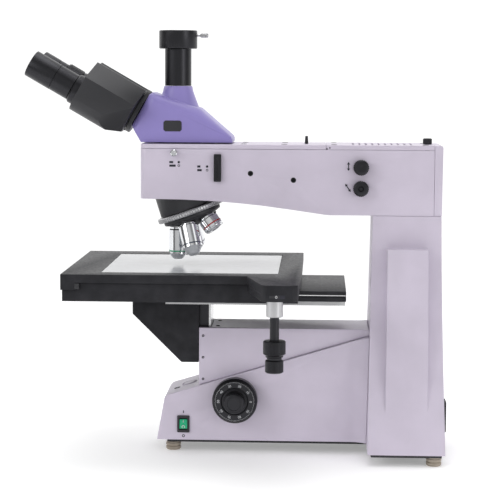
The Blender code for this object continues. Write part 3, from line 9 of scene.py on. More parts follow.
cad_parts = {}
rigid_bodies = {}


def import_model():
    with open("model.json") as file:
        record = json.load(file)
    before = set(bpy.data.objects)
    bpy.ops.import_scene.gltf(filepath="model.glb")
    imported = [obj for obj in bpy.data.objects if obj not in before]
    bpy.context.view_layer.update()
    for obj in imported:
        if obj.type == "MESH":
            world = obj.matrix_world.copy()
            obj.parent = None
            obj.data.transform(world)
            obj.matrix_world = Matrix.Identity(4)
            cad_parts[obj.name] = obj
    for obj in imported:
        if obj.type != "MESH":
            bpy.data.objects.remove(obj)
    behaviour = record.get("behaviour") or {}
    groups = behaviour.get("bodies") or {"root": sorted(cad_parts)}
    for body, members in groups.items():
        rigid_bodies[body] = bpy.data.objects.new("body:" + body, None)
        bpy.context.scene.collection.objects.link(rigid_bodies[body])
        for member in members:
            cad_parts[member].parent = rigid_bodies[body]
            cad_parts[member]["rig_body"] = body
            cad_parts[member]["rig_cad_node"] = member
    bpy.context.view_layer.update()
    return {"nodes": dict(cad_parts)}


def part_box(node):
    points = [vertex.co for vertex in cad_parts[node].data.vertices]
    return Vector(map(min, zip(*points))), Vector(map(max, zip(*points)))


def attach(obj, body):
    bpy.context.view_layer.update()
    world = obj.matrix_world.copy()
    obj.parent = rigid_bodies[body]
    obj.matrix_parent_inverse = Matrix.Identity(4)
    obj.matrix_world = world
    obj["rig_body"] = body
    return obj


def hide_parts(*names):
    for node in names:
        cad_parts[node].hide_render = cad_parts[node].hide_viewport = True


bl_info = {
    "name": "Reflected-Light Microscope",
    "version": (1, 0, 0),
    "blender": (4, 5, 0),
    "location": "3D View > Sidebar > Microscope",
    "description": "Builds the visible pieces of a trinocular reflected-light microscope",
    "category": "Mesh",
}

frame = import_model()
NODES = frame["nodes"]
MM = 0.001
UP = Vector((0, 0, 1))
ALONG_X = Vector((1, 0, 0))
ALONG_Y = Vector((0, 1, 0))


def middle(node):
    """Centre of a frame node's box."""
    low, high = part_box(node)
    return (low + high) / 2


def extent(node):
    """Size of a frame node's box in millimetres."""
    low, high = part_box(node)
    return (high - low) / MM


OPTICAL_AXIS = middle("photo_tube")


def at(x, y, z):
    """Point from millimetres counted from the optical axis and the table."""
    return Vector((OPTICAL_AXIS.x + x * MM, OPTICAL_AXIS.y + y * MM, z * MM))


# Directions and places that several pieces share, in millimetres from the optical axis
VIEW_TILT = math.radians(30)
VIEW_UP = Vector((-math.cos(VIEW_TILT), 0, math.sin(VIEW_TILT)))
VIEW_ACROSS = Vector((math.sin(VIEW_TILT), 0, math.cos(VIEW_TILT)))
VIEW_ORIGIN = at(-48.2, 0, 413.4)
EYE_SIDE = 33.0
EYE_DROP = 13.2
TURRET_LEAN = math.radians(20)
TURRET_AXIS = Vector((math.sin(TURRET_LEAN), 0, -math.cos(TURRET_LEAN)))
TURRET_PIVOT = at(0, 0, 334.5)
SEAT_LEVEL = 62.5              # from the turret's pivot to the seats of the objectives
ARM_FACE_Y = -44.0
BASE_FACE_Y = -45.0
HEAD_FACE_Y = -34.0
PRINT_GAP = 0.02               # printed marks start this far in front of a face
PRINT_LIFT = Vector((0, -0.12 * MM, 0))
PRINT_RISE = 0.12


def eye_origin(side):
    """Start of an eyetube's axis; side is -1 for the observer's right."""
    return VIEW_ORIGIN - VIEW_ACROSS * EYE_DROP * MM + ALONG_Y * side * EYE_SIDE * MM


# ---------------------------------------------------------------- editing helpers

def pick(obj):
    """Make one object the only selected and active one."""
    bpy.ops.object.select_all(action="DESELECT")
    obj.select_set(True)
    bpy.context.view_layer.objects.active = obj


def edit(obj, kind="FACE"):
    """Open an object's mesh for editing."""
    pick(obj)
    bpy.ops.object.mode_set(mode="EDIT")
    bpy.ops.mesh.select_mode(type=kind)


def done():
    """Close the mesh that is being edited."""
    bpy.ops.object.mode_set(mode="OBJECT")


def mark_faces(obj, test):
    """Select the faces that pass a test of their centre and normal."""
    mesh = obj.data
    mesh.vertices.foreach_set("select", [False] * len(mesh.vertices))
    mesh.edges.foreach_set("select", [False] * len(mesh.edges))
    for face in mesh.polygons:
        face.select = test(face.center, face.normal)


def square_up(obj):
    """Move an object's place, turn and size into its mesh."""
    pick(obj)
    bpy.ops.object.transform_apply(location=True, rotation=True, scale=True)


def trace(points):
    """Draw a chain of edges through points and leave it open for editing."""
    bpy.ops.object.select_all(action="DESELECT")
    bpy.ops.mesh.primitive_plane_add(size=MM, location=points[0])
    obj = bpy.context.object
    square_up(obj)
    edit(obj, "VERT")
    bpy.ops.mesh.select_all(action="SELECT")
    bpy.ops.mesh.merge(type="CENTER")
    for here, there in zip(points, points[1:]):
        bpy.ops.mesh.extrude_region_move(TRANSFORM_OT_translate={"value": there - here})
    return obj


def plate(points, depth):
    """Fill a closed outline and extrude it by a vector."""
    obj = trace(list(points) + [points[0]])
    bpy.ops.mesh.select_all(action="SELECT")
    bpy.ops.mesh.remove_doubles(threshold=1e-6)
    bpy.ops.mesh.edge_face_add()
    bpy.ops.mesh.extrude_region_move(TRANSFORM_OT_translate={"value": depth})
    bpy.ops.mesh.select_all(action="SELECT")
    bpy.ops.mesh.normals_make_consistent(inside=False)
    done()
    return obj


def lathe(profile, origin, axis, steps=64):
    """Spin a chain of (radius, height) points, in millimetres, about an axis."""
    across = axis.orthogonal().normalized()
    points = [origin + across * r * MM + axis * h * MM for r, h in profile]
    obj = trace(points)
    bpy.ops.mesh.select_all(action="SELECT")
    bpy.ops.mesh.spin(steps=steps, angle=2 * math.pi, center=origin, axis=axis)
    bpy.ops.mesh.select_all(action="SELECT")
    bpy.ops.mesh.remove_doubles(threshold=2e-6)
    bpy.ops.mesh.normals_make_consistent(inside=False)
    done()
    return obj


def block(low, high):
    """Add a box between two corners."""
    bpy.ops.object.select_all(action="DESELECT")
    bpy.ops.mesh.primitive_cube_add(size=1, location=(low + high) / 2, scale=high - low)
    obj = bpy.context.object
    square_up(obj)
    return obj


def apply_modifier(obj, kind, **settings):
    """Add a modifier, set it up and apply it."""
    pick(obj)
    bpy.ops.object.modifier_add(type=kind)
    modifier = obj.modifiers[-1]
    for key, value in settings.items():
        setattr(modifier, key, value)
    bpy.ops.object.modifier_apply(modifier=modifier.name)


def round_edges(obj, width, segments=3, angle=30):
    """Bevel the sharp edges; width in millimetres."""
    apply_modifier(obj, "BEVEL", width=width * MM, segments=segments, limit_method="ANGLE",
                   angle_limit=math.radians(angle))


def shape_with(obj, tool, operation="DIFFERENCE"):
    """Cut or join a piece with a tool, which is used up."""
    apply_modifier(obj, "BOOLEAN", operation=operation, object=tool, solver="EXACT")
    bpy.data.objects.remove(tool, do_unlink=True)


def band_test(origin, axis, start, end):
    """Test for the outer wall's faces between two heights of a turned piece."""
    def test(centre, normal):
        height = (centre - origin).dot(axis) / MM
        outward = (centre - origin) - axis * (centre - origin).dot(axis)
        return start < height < end and abs(normal.dot(axis)) < 0.3 and normal.dot(outward) > 0
    return test


def cut_ridges(obj, test, gap, height):
    """Raise or sink each face of a band by a height in millimetres."""
    mark_faces(obj, test)
    edit(obj)
    bpy.ops.mesh.inset(thickness=gap * MM, depth=height * MM, use_individual=True)
    done()


def repeat(obj, offset):
    """Copy a piece, with its own mesh, by an offset."""
    pick(obj)
    bpy.ops.object.duplicate()
    new = bpy.context.object
    bpy.ops.transform.translate(value=offset)
    square_up(new)
    return new


def join(first, *others):
    """Join meshes into one piece."""
    pick(first)
    for other in others:
        other.select_set(True)
    bpy.ops.object.join()
    return first


def copy_node(node):
    """Copy a frame node and clean up its triangles, ready to be worked on."""
    pick(NODES[node])
    bpy.ops.object.duplicate()
    obj = bpy.context.object
    obj.parent = None
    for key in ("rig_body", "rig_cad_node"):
        del obj[key]
    edit(obj)
    bpy.ops.mesh.select_all(action="SELECT")
    bpy.ops.mesh.remove_doubles(threshold=2e-6)
    bpy.ops.mesh.dissolve_limited(angle_limit=math.radians(0.6))
    done()
    return obj


def hand_over(obj, name, body, slot, finish=None, replaced=(), smooth=35):
    """Name a finished piece, shade and paint it, and fix it to its body.

    The finish has the slot's name when none is given, and smooth is the angle, in degrees,
    past which an edge stays sharp.
    """
    obj.name = name
    obj.data.name = name
    pick(obj)
    if smooth:
        bpy.ops.object.shade_smooth_by_angle(angle=math.radians(smooth))
    obj.data.materials.clear()
    obj.data.materials.append(bpy.data.materials[finish or slot])
    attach(obj, body)
    if replaced:
        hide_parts(*replaced)
    return obj


def soften(node, name, body, slot, finish=None, width=0.4, segments=2, angle=30, smooth=35):
    """Round the edges of a copy of a frame node and hand it over in the node's place."""
    piece = copy_node(node)
    round_edges(piece, width, segments, angle)
    return hand_over(piece, name, body, slot, finish, (node,), smooth)


# ---------------------------------------------------------------- finishes

class Shading:
    """A short way to wire up one material."""

    def __init__(self, name):
        self.material = bpy.data.materials.new(name)
        self.material.use_nodes = True
        self.tree = self.material.node_tree
        self.shader = self.tree.nodes["Principled BSDF"]
        coordinates = self.tree.nodes.new("ShaderNodeTexCoord")
        self.place = coordinates.outputs["Object"]

    def link(self, source, target):
        self.tree.links.new(source, target)

    def set(self, **values):
        for name, value in values.items():
            self.shader.inputs[name.replace("_", " ")].default_value = value

    def scaled(self, scale):
        node = self.tree.nodes.new("ShaderNodeMapping")
        node.inputs["Scale"].default_value = scale
        self.link(self.place, node.inputs["Vector"])
        return node.outputs["Vector"]

    def noise(self, scale, detail=3.0, source=None):
        node = self.tree.nodes.new("ShaderNodeTexNoise")
        node.inputs["Scale"].default_value = scale
        node.inputs["Detail"].default_value = detail
        self.link(source or self.place, node.inputs["Vector"])
        return node.outputs["Fac"]

    def spread(self, source, low, high):
        node = self.tree.nodes.new("ShaderNodeMapRange")
        node.inputs["From Min"].default_value = 0.3
        node.inputs["From Max"].default_value = 0.7
        node.inputs["To Min"].default_value = low
        node.inputs["To Max"].default_value = high
        self.link(source, node.inputs["Value"])
        return node.outputs["Result"]

    def tint(self, source, dark, light):
        node = self.tree.nodes.new("ShaderNodeValToRGB")
        node.color_ramp.elements[0].position = 0.35
        node.color_ramp.elements[1].position = 0.65
        node.color_ramp.elements[0].color = (*dark, 1)
        node.color_ramp.elements[1].color = (*light, 1)
        self.link(source, node.inputs["Fac"])
        self.link(node.outputs["Color"], self.shader.inputs["Base Color"])

    def rough(self, source, low, high):
        self.link(self.spread(source, low, high), self.shader.inputs["Roughness"])

    def bump(self, source, depth, strength=1.0):
        node = self.tree.nodes.new("ShaderNodeBump")
        node.inputs["Distance"].default_value = depth * MM
        node.inputs["Strength"].default_value = strength
        self.link(source, node.inputs["Height"])
        self.link(node.outputs["Normal"], self.shader.inputs["Normal"])


def shade(colour, factor):
    """A colour made darker or lighter."""
    return tuple(min(channel * factor, 1.0) for channel in colour)


def satin_paint(name, colour, roughness=0.42, grain=0.02, shine=0.5):
    """Powder-like satin paint: faint mottling, fine grain, a thin clear coat."""
    look = Shading(name)
    look.set(Metallic=0.0, Coat_Weight=0.24 * shine, Coat_Roughness=0.3, IOR=1.48,
             Specular_IOR_Level=shine)
    look.tint(look.noise(28, 4), shade(colour, 0.965), shade(colour, 1.02))
    look.rough(look.noise(240, 3), roughness - 0.05, roughness + 0.07)
    look.bump(look.noise(2600, 3), grain, 0.35)


def dark_anodised(name, colour, roughness=0.34):
    """Fine bead-blasted and dyed metal."""
    look = Shading(name)
    look.set(Metallic=0.0, IOR=1.42, Specular_IOR_Level=0.12)
    look.tint(look.noise(60, 5), shade(colour, 0.82), shade(colour, 1.18))
    look.rough(look.noise(420, 4), roughness - 0.06, roughness + 0.1)
    look.bump(look.noise(4200, 2), 0.012, 0.3)


def turned_metal(name, colour, roughness, spread, stretch):
    """Bright machined metal with faint tool marks along one direction."""
    look = Shading(name)
    look.set(Metallic=1.0)
    look.tint(look.noise(90, 3), shade(colour, 0.9), colour)
    marks = look.noise(60, 4, look.scaled(stretch))
    look.rough(marks, max(roughness - spread, 0.03), roughness + spread)
    look.bump(marks, 0.006, 0.25)


def moulded_plastic(name, colour, roughness=0.5):
    """Moulded plastic with a light spark-eroded grain."""
    look = Shading(name)
    look.set(Metallic=0.0, IOR=1.46, Specular_IOR_Level=0.15)
    look.tint(look.noise(140, 3), shade(colour, 0.85), shade(colour, 1.15))
    look.rough(look.noise(300, 2), roughness - 0.06, roughness + 0.06)
    look.bump(look.noise(1800, 4), 0.03, 0.4)


def polished_plate(name, colour):
    """Pale polished plate, almost a mirror, with the faintest bloom."""
    look = Shading(name)
    look.set(Metallic=0.0, IOR=1.42, Specular_IOR_Level=0.4)
    look.tint(look.noise(9, 3), shade(colour, 0.94), shade(colour, 1.04))
    look.rough(look.noise(40, 2), 0.10, 0.17)


def painted_glow_lens(name, colour):
    """Translucent coloured rocker with a painted glow: its emission brightens the green, though no
    lamp lights it.
    """
    look = Shading(name)
    look.set(Metallic=0.0, IOR=1.49, Transmission_Weight=0.15, Emission_Strength=0.25)
    look.shader.inputs["Emission Color"].default_value = (*colour, 1)
    look.tint(look.noise(300, 3), shade(colour, 0.75), shade(colour, 1.2))
    look.rough(look.noise(500, 2), 0.18, 0.28)


def optical_glass(name, colour):
    """Coated lens surface."""
    look = Shading(name)
    look.set(Metallic=0.0, IOR=1.52, Coat_Weight=1.0, Coat_Roughness=0.01)
    look.tint(look.noise(70, 2), shade(colour, 0.6), colour)
    look.rough(look.noise(60, 2), 0.02, 0.06)


# ---------------------------------------------------------------- settings

class MicroscopeFinishes(bpy.types.PropertyGroup):
    """Colours of the painted and dyed surfaces."""

    housing: bpy.props.FloatVectorProperty(
        name="Housing", description="Lilac-grey paint of the stand and the arm",
        subtype="COLOR", size=3, min=0, max=1, default=(0.600, 0.545, 0.650))
    head: bpy.props.FloatVectorProperty(
        name="Head", description="Violet paint of the viewing head",
        subtype="COLOR", size=3, min=0, max=1, default=(0.275, 0.230, 0.545))
    black: bpy.props.FloatVectorProperty(
        name="Black", description="Black paint and anodising",
        subtype="COLOR", size=3, min=0, max=1, default=(0.008, 0.0083, 0.0095))
    stage: bpy.props.FloatVectorProperty(
        name="Stage", description="Dark grey anodising of the stage",
        subtype="COLOR", size=3, min=0, max=1, default=(0.026, 0.026, 0.0295))
    stage_plate: bpy.props.FloatVectorProperty(
        name="Stage Plate", description="Pale polished plate let into the stage",
        subtype="COLOR", size=3, min=0, max=1, default=(0.45, 0.46, 0.475))
    rocker: bpy.props.FloatVectorProperty(
        name="Rocker", description="Green rocker of the power switch",
        subtype="COLOR", size=3, min=0, max=1, default=(0.004, 0.270, 0.110))


class MicroscopeSizes(bpy.types.PropertyGroup):
    """Sizes of edges, grips and small details."""

    casting_edge: bpy.props.FloatProperty(
        name="Casting Edge", description="Rounding of the painted castings, in millimetres",
        default=1.6, min=0.2, max=4)
    panel_edge: bpy.props.FloatProperty(
        name="Panel Edge", description="Rounding of covers and plates, in millimetres",
        default=0.7, min=0.1, max=2)
    coarse_ridges: bpy.props.IntProperty(
        name="Coarse Ridges", description="Grip ridges round a coarse knob",
        default=110, min=24, max=200)
    fine_ridges: bpy.props.IntProperty(
        name="Fine Ridges", description="Grip ridges round a fine knob",
        default=72, min=24, max=160)
    stage_ridges: bpy.props.IntProperty(
        name="Stage Ridges", description="Grip ridges round a stage knob",
        default=52, min=20, max=120)
    ring_ridges: bpy.props.IntProperty(
        name="Ring Ridges", description="Grip ridges round the nosepiece ring",
        default=72, min=60, max=240)
    ridge_height: bpy.props.FloatProperty(
        name="Ridge Height", description="Height of the grip ridges, in millimetres",
        default=0.35, min=0.1, max=1)
    rack_pitch: bpy.props.FloatProperty(
        name="Rack Pitch",
        description="Distance between the teeth of the stage rack, in millimetres",
        default=2.3, min=1, max=4)
    dial_marks: bpy.props.IntProperty(
        name="Dial Marks", description="Fine divisions round the focus dial",
        default=100, min=20, max=200)


def sizes():
    return bpy.context.scene.microscope_sizes


def finishes():
    return bpy.context.scene.microscope_finishes


class MICROSCOPE_OT_finishes(bpy.types.Operator):
    """Make every finish and give the carried-over frame nodes theirs"""

    bl_idname = "microscope.finishes"
    bl_label = "Make Finishes"

    def execute(self, context):
        colours = finishes()
        black = tuple(colours.black)
        satin_paint("housing_paint", tuple(colours.housing))
        satin_paint("head_paint", tuple(colours.head), 0.38)
        satin_paint("black_paint", shade(black, 0.8), 0.38, shine=0.08)
        dark_anodised("black_anodised", black)
        dark_anodised("stage_anodised", tuple(colours.stage), 0.40)
        turned_metal("bright_chrome", (0.52, 0.53, 0.55), 0.09, 0.04, (1, 1, 12))
        turned_metal("ground_steel", (0.50, 0.50, 0.51), 0.26, 0.08, (1, 1, 20))
        turned_metal("rail_steel", (0.66, 0.66, 0.67), 0.25, 0.08, (1, 20, 20))
        turned_metal("foot_nickel", (0.46, 0.41, 0.36), 0.30, 0.08, (1, 1, 16))
        turned_metal("bare_aluminium", (0.72, 0.73, 0.75), 0.40, 0.08, (1, 12, 12))
        turned_metal("gear_brass", (0.72, 0.55, 0.28), 0.32, 0.08, (1, 1, 14))
        moulded_plastic("black_plastic", shade(black, 1.3))
        moulded_plastic("mark_ink", (0.035, 0.035, 0.045), 0.55)
        moulded_plastic("dial_ink", (0.62, 0.63, 0.65), 0.5)
        moulded_plastic("red_band", (0.40, 0.02, 0.02), 0.4)
        polished_plate("pale_plate", tuple(colours.stage_plate))
        painted_glow_lens("green_lens", tuple(colours.rocker))
        optical_glass("lens_glass", (0.05, 0.07, 0.12))
        carried = {
            # The base plate's black band under the base is partly painted shadow: its darkness
            # stands in for the shade beneath the base.
            "black_paint": ("base_plate",),
            "black_anodised": ("focus_slide", "mirror_block"),
            "stage_anodised": ("stage_bed",),
            "bare_aluminium": ("lamp_house",),
            "gear_brass": ("focus_rack",),
            "rail_steel": ("slide_rail",),
            "pale_plate": ("stage_glass",),
        }
        for finish, nodes in carried.items():
            for node in nodes:
                NODES[node].data.materials.clear()
                NODES[node].data.materials.append(bpy.data.materials[finish])
        return {"FINISHED"}


# ---------------------------------------------------------------- small shared pieces

def socket_screw(origin, axis, radius, name, body, finish="black_plastic"):
    """Cap screw with a hexagon socket, its head just proud of a surface."""
    head = lathe([(0, 0.55), (radius * 0.82, 0.55), (radius, 0.3), (radius, -0.4), (0, -0.4)],
                 origin, axis, 24)
    socket = lathe([(0, 0.8), (radius * 0.48, 0.8), (radius * 0.48, -0.1), (0, -0.1)], origin,
                   axis, 6)
    shape_with(head, socket)
    return hand_over(head, name, body, "black_plastic", finish)


def strip(start, end, width, lift):
    """Thin printed line between two points on a face that looks towards -Y."""
    along = (end - start).normalized()
    across = along.cross(ALONG_Y) * width * MM / 2
    return plate([start - across, end - across, end + across, start + across], lift)


# ---------------------------------------------------------------- stand

class MICROSCOPE_OT_castings(bpy.types.Operator):
    """Column, base and focus block with rounded edges"""

    bl_idname = "microscope.castings"
    bl_label = "Build Castings"

    def execute(self, context):
        edge = sizes().casting_edge
        for node, name, width in (("column", "column_casting", edge),
                                  ("base_housing", "base_casting", edge * 0.8),
                                  ("focus_block", "block_casting", edge * 0.5)):
            soften(node, name, "stand", "lilac_paint", "housing_paint", width, 3, 32, 40)
        for number, z in enumerate((143.0, 116.5, 90.0), 1):
            socket_screw(at(34.0, -40.0, z), -ALONG_Y, 1.5, f"block_screw_{number}", "stand")
        for number, y in enumerate((-22.0, 22.0), 1):
            socket_screw(at(51.0, y, 152.8), UP, 2.4, f"block_top_screw_{number}", "stand")
        slope = math.atan(0.3045)
        lean = Vector((-math.sin(slope), 0, math.cos(slope)))
        port = lathe([(0, 0.7), (7.4, 0.7), (7.6, 0.2), (8.3, 0.2), (8.5, 0.9), (9.2, 0.9),
                      (9.6, 0.5), (9.6, -0.5), (0, -0.5)], at(14.5, 0, 77.96), lean, 48)
        hand_over(port, "field_port_cap", "stand", "lilac_paint", "housing_paint")
        # Dark disc on the ramp below the bracket: painted shade where the bracket's lower edge
        # darkens the ramp.
        shade_disc = lathe([(0, -0.2), (2.6, -0.2), (2.6, 0.4), (3.6, 0.4), (4.0, 0.1), (4.0, -0.5),
                      (0, -0.5)],
                     at(0.5, -14, 73.7), lean, 32)
        hand_over(shade_disc, "filter_catch", "stand", "black_plastic", "mark_ink")
        return {"FINISHED"}


class MICROSCOPE_OT_feet(bpy.types.Operator):
    """Four knurled levelling feet"""

    bl_idname = "microscope.feet"
    bl_label = "Build Feet"

    def execute(self, context):
        names = ("foot_front_right", "foot_front_left", "foot_rear_right", "foot_rear_left")
        centre = middle(names[0])
        radius = extent(names[0]).x / 2 - 0.3
        height = extent(names[0]).z
        start = Vector((centre.x, centre.y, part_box(names[0])[0].z))
        profile = [(0, 0), (radius - 1.4, 0), (radius - 0.6, 0.5), (radius - 0.4, 1.2),
                   (radius, 1.5),
                   (radius, 4.6), (radius - 0.8, 5.0), (radius - 0.8, 5.6), (radius, 6.0),
                   (radius, 8.6), (radius - 0.5, 9.2), (radius - 0.5, height), (0, height)]
        foot = lathe(profile, start, UP, 60)
        cut_ridges(foot, band_test(start, UP, 1.6, 4.5), 0.12, 0.28)
        cut_ridges(foot, band_test(start, UP, 6.1, 8.5), 0.12, 0.28)
        copies = [foot] + [repeat(foot, middle(name) - centre) for name in names[1:]]
        for name, piece in zip(names, copies):
            hand_over(piece, name.replace("foot", "knurled_foot"), "stand", "foot_nickel",
                      replaced=(name,))
        return {"FINISHED"}


class MICROSCOPE_OT_switch(bpy.types.Operator):
    """Power switch with its marks, and the mains inlet"""

    bl_idname = "microscope.switch"
    bl_label = "Build Switch and Inlet"

    def execute(self, context):
        soften("switch_bezel", "switch_frame", "stand", "black_plastic")
        soften("switch_rocker", "switch_paddle", "rocker", "green_lens", width=0.35)
        centre = middle("switch_rocker")
        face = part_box("switch_rocker")[0].y - 0.05 * MM
        ring = lathe([(1.3, 0), (2.0, 0), (2.0, 0.25), (1.3, 0.25), (1.3, 0)],
                     Vector((centre.x, face + 0.45 * MM, centre.z - 3.4 * MM)), -ALONG_Y, 24)
        hand_over(ring, "switch_off_mark", "rocker", "bare_aluminium", "dial_ink")
        bar = block(Vector((centre.x - 0.35 * MM, face + 0.9 * MM, centre.z + 1.8 * MM)),
                    Vector((centre.x + 0.35 * MM, face + 1.4 * MM, centre.z + 4.6 * MM)))
        round_edges(bar, 0.1, 2)
        hand_over(bar, "switch_on_mark", "rocker", "bare_aluminium", "dial_ink")
        face = BASE_FACE_Y - PRINT_GAP
        on_bar = plate([at(10.0, face, 48.4), at(11.2, face, 48.4), at(11.2, face, 51.6),
                        at(10.0, face, 51.6)], PRINT_LIFT)
        off_ring = lathe([(1.0, 0), (1.8, 0), (1.8, PRINT_RISE), (1.0, PRINT_RISE), (1.0, 0)],
                         at(10.6, face, 20.4), -ALONG_Y, 24)
        legend = join(on_bar, off_ring)
        hand_over(legend, "switch_legend", "stand", "black_plastic", "mark_ink", smooth=0)
        soften("power_inlet", "mains_inlet", "stand", "black_plastic", width=0.6)
        return {"FINISHED"}


# ---------------------------------------------------------------- focus drive

def focus_knob(side):
    """Coarse knob, dial and fine knob on one side; side is -1 for the observer's right."""
    axis = ALONG_Y * side
    centre = middle("coarse_knob_right")
    origin = Vector((centre.x, OPTICAL_AXIS.y, centre.z))
    word = "right" if side < 0 else "left"
    radius = 27.2 - sizes().ridge_height
    coarse = lathe([(5.3, 49), (20, 49), (20, 50.5), (radius - 1.2, 50.5), (radius - 0.4, 51.2),
                    (radius, 52), (radius, 63.6), (radius - 0.5, 64.2), (radius - 0.9, 65.2),
                    (25.0, 66), (23.6, 67.6), (16.6, 67.9), (15.4, 66.9), (13.2, 66.9),
                    (13.2, 67.9), (5.3, 67.9), (5.3, 49)], origin, axis, sizes().coarse_ridges)
    cut_ridges(coarse, band_test(origin, axis, 52.1, 63.5), 0.14, sizes().ridge_height)
    hand_over(coarse, f"coarse_grip_{word}", "coarse_drive", "black_anodised",
              replaced=(f"coarse_knob_{word}",))
    ridge = 0.25
    radius = 12.3 - ridge
    fine = lathe([(0, 68.3), (radius - 1.6, 68.3), (radius - 1.6, 69.2), (radius - 0.5, 69.6),
                  (radius, 70.2), (radius, 82.4), (radius - 0.4, 83.2), (radius - 1.4, 83.9),
                  (8.2, 84.0), (7.6, 83.4), (0, 83.4)], origin, axis, sizes().fine_ridges)
    cut_ridges(fine, band_test(origin, axis, 70.3, 82.3), 0.12, ridge)
    hand_over(fine, f"fine_grip_{word}", "fine_drive", "black_anodised",
              replaced=(f"fine_knob_{word}",))
    return origin, axis, word


def dial_marks(origin, axis, word):
    """Ring of fine divisions and ten numbers on the dial's face."""
    across = ALONG_X
    second = axis.cross(across)
    count = sizes().dial_marks
    numbers = 10
    half_width = 0.12 * MM
    length = 1.1 * MM
    marks = []
    for index in range(count):
        angle = 2 * math.pi * index / count
        out = across * math.cos(angle) + second * math.sin(angle)
        side = axis.cross(out)
        inner = 22.0 if index % numbers == 0 else 22.8
        start = origin + out * inner * MM + axis * 67.62 * MM
        marks.append(plate([start - side * half_width, start + out * length - side * half_width,
                            start + out * length + side * half_width, start + side * half_width],
                           axis * 0.16 * MM))
    ring = join(*marks)
    hand_over(ring, f"dial_divisions_{word}", "coarse_drive", "bare_aluminium", "dial_ink",
              smooth=0)
    turn = Matrix((across, second, axis)).transposed().to_4x4()
    for index in range(numbers):
        angle = 2 * math.pi * index / numbers
        out = across * math.cos(angle) + second * math.sin(angle)
        bpy.ops.object.select_all(action="DESELECT")
        bpy.ops.object.text_add(location=(0, 0, 0))
        text = bpy.context.object
        text.data.body = str(index * numbers)
        text.data.size = 4.0 * MM
        text.data.align_x = "CENTER"
        text.data.align_y = "CENTER"
        text.data.extrude = 0.06 * MM
        text.matrix_world = (Matrix.Translation(origin + out * 19.4 * MM + axis * 67.86 * MM)
                             @ turn @ Matrix.Rotation(angle - math.pi / 2, 4, "Z"))
        bpy.ops.object.convert(target="MESH")
        square_up(text)
        hand_over(text, f"dial_number_{index}_{word}", "coarse_drive", "bare_aluminium", "dial_ink",
                  smooth=0)


class MICROSCOPE_OT_focus_knobs(bpy.types.Operator):
    """Coarse and fine focus knobs with their dials"""

    bl_idname = "microscope.focus_knobs"
    bl_label = "Build Focus Knobs"

    def execute(self, context):
        for side in (-1, 1):
            origin, axis, word = focus_knob(side)
            dial_marks(origin, axis, word)
        return {"FINISHED"}


# ---------------------------------------------------------------- stage

class MICROSCOPE_OT_stage_plates(bpy.types.Operator):
    """Stage top, frame, middle layer with its rails and toothed rack, and bracket"""

    bl_idname = "microscope.stage_plates"
    bl_label = "Build Stage"

    def execute(self, context):
        edge = sizes().panel_edge
        soften("stage_top", "stage_top_plate", "x_carriage", "stage_grey", "stage_anodised",
               edge * 1.4, 3, 32)
        soften("stage_frame", "stage_channel", "x_carriage", "stage_grey", "stage_anodised",
               edge * 0.6, 2, 32)
        soften("stage_bracket", "bracket_casting", "focus_carriage", "stage_grey",
               "stage_anodised", 1.2, 3)
        self.middle_layer()
        self.rack()
        self.screws()
        return {"FINISHED"}

    def middle_layer(self):
        """Plate with a ground rail let into each long side."""
        low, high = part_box("stage_guide")
        guide = block(low, high)
        for side in (0, 1):
            y = (low.y, high.y)[side]
            groove_low = Vector((low.x - MM, y - 1.2 * MM, low.z + 4.8 * MM))
            groove_high = Vector((high.x + MM, y + 1.2 * MM, high.z - 3.4 * MM))
            shape_with(guide, block(groove_low, groove_high))
            inset = (0.35 * MM, -0.35 * MM)[side]
            outer = y + inset
            inner = y + inset * 3.2
            rail = block(Vector((low.x + 2 * MM, min(outer, inner), low.z + 6.6 * MM)),
                         Vector((high.x - 0.6 * MM, max(outer, inner), high.z - 4.2 * MM)))
            round_edges(rail, 0.3, 2)
            word = ("front", "rear")[side]
            hand_over(rail, f"guide_rail_{word}", "y_carriage", "ground_steel", "rail_steel")
        round_edges(guide, 0.5, 2, 32)
        hand_over(guide, "middle_layer", "y_carriage", "stage_grey", "stage_anodised",
                  ("stage_guide",))

    def rack(self):
        """Toothed bar under the middle layer, its teeth cut slantwise towards the front."""
        low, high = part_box("stage_rack")
        pitch = sizes().rack_pitch * MM
        bar = block(low + ALONG_Y * 1.7 * MM, high)
        lean = ALONG_X * pitch * 0.9
        land = ALONG_X * pitch * 0.42
        rise = UP * (high.z - low.z)
        tooth = plate([low, low + land, low + land + lean + rise, low + lean + rise],
                      ALONG_Y * 1.9 * MM)
        count = int((high.x - low.x) / pitch) - 2
        apply_modifier(tooth, "ARRAY", count=count, use_relative_offset=False,
                       use_constant_offset=True, constant_offset_displace=(pitch, 0, 0))
        join(bar, tooth)
        hand_over(bar, "toothed_rack", "y_carriage", "ground_steel", replaced=("stage_rack",),
                  smooth=20)

    def screws(self):
        """Plate screws, the end stop at the left front corner and the slot in the lug."""
        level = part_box("stage_top")[1].z / MM - 0.45
        places = ((-118, -128), (-118, 128), (146, 128), (14, 128), (146, -100))
        for number, (x, y) in enumerate(places, 1):
            socket_screw(at(x, y, level), UP, 2.0, f"stage_screw_{number}", "x_carriage")
        stop = block(at(-109.5, -135.2, 210.0), at(-104.0, -131.0, 216.8))
        round_edges(stop, 0.6, 2)
        hand_over(stop, "stage_end_stop", "x_carriage", "black_plastic")
        slot = block(at(119, -223.3, 213.2), at(131, -222.0, 216.2))
        round_edges(slot, 0.5, 2)
        hand_over(slot, "lug_slot", "x_carriage", "black_plastic")


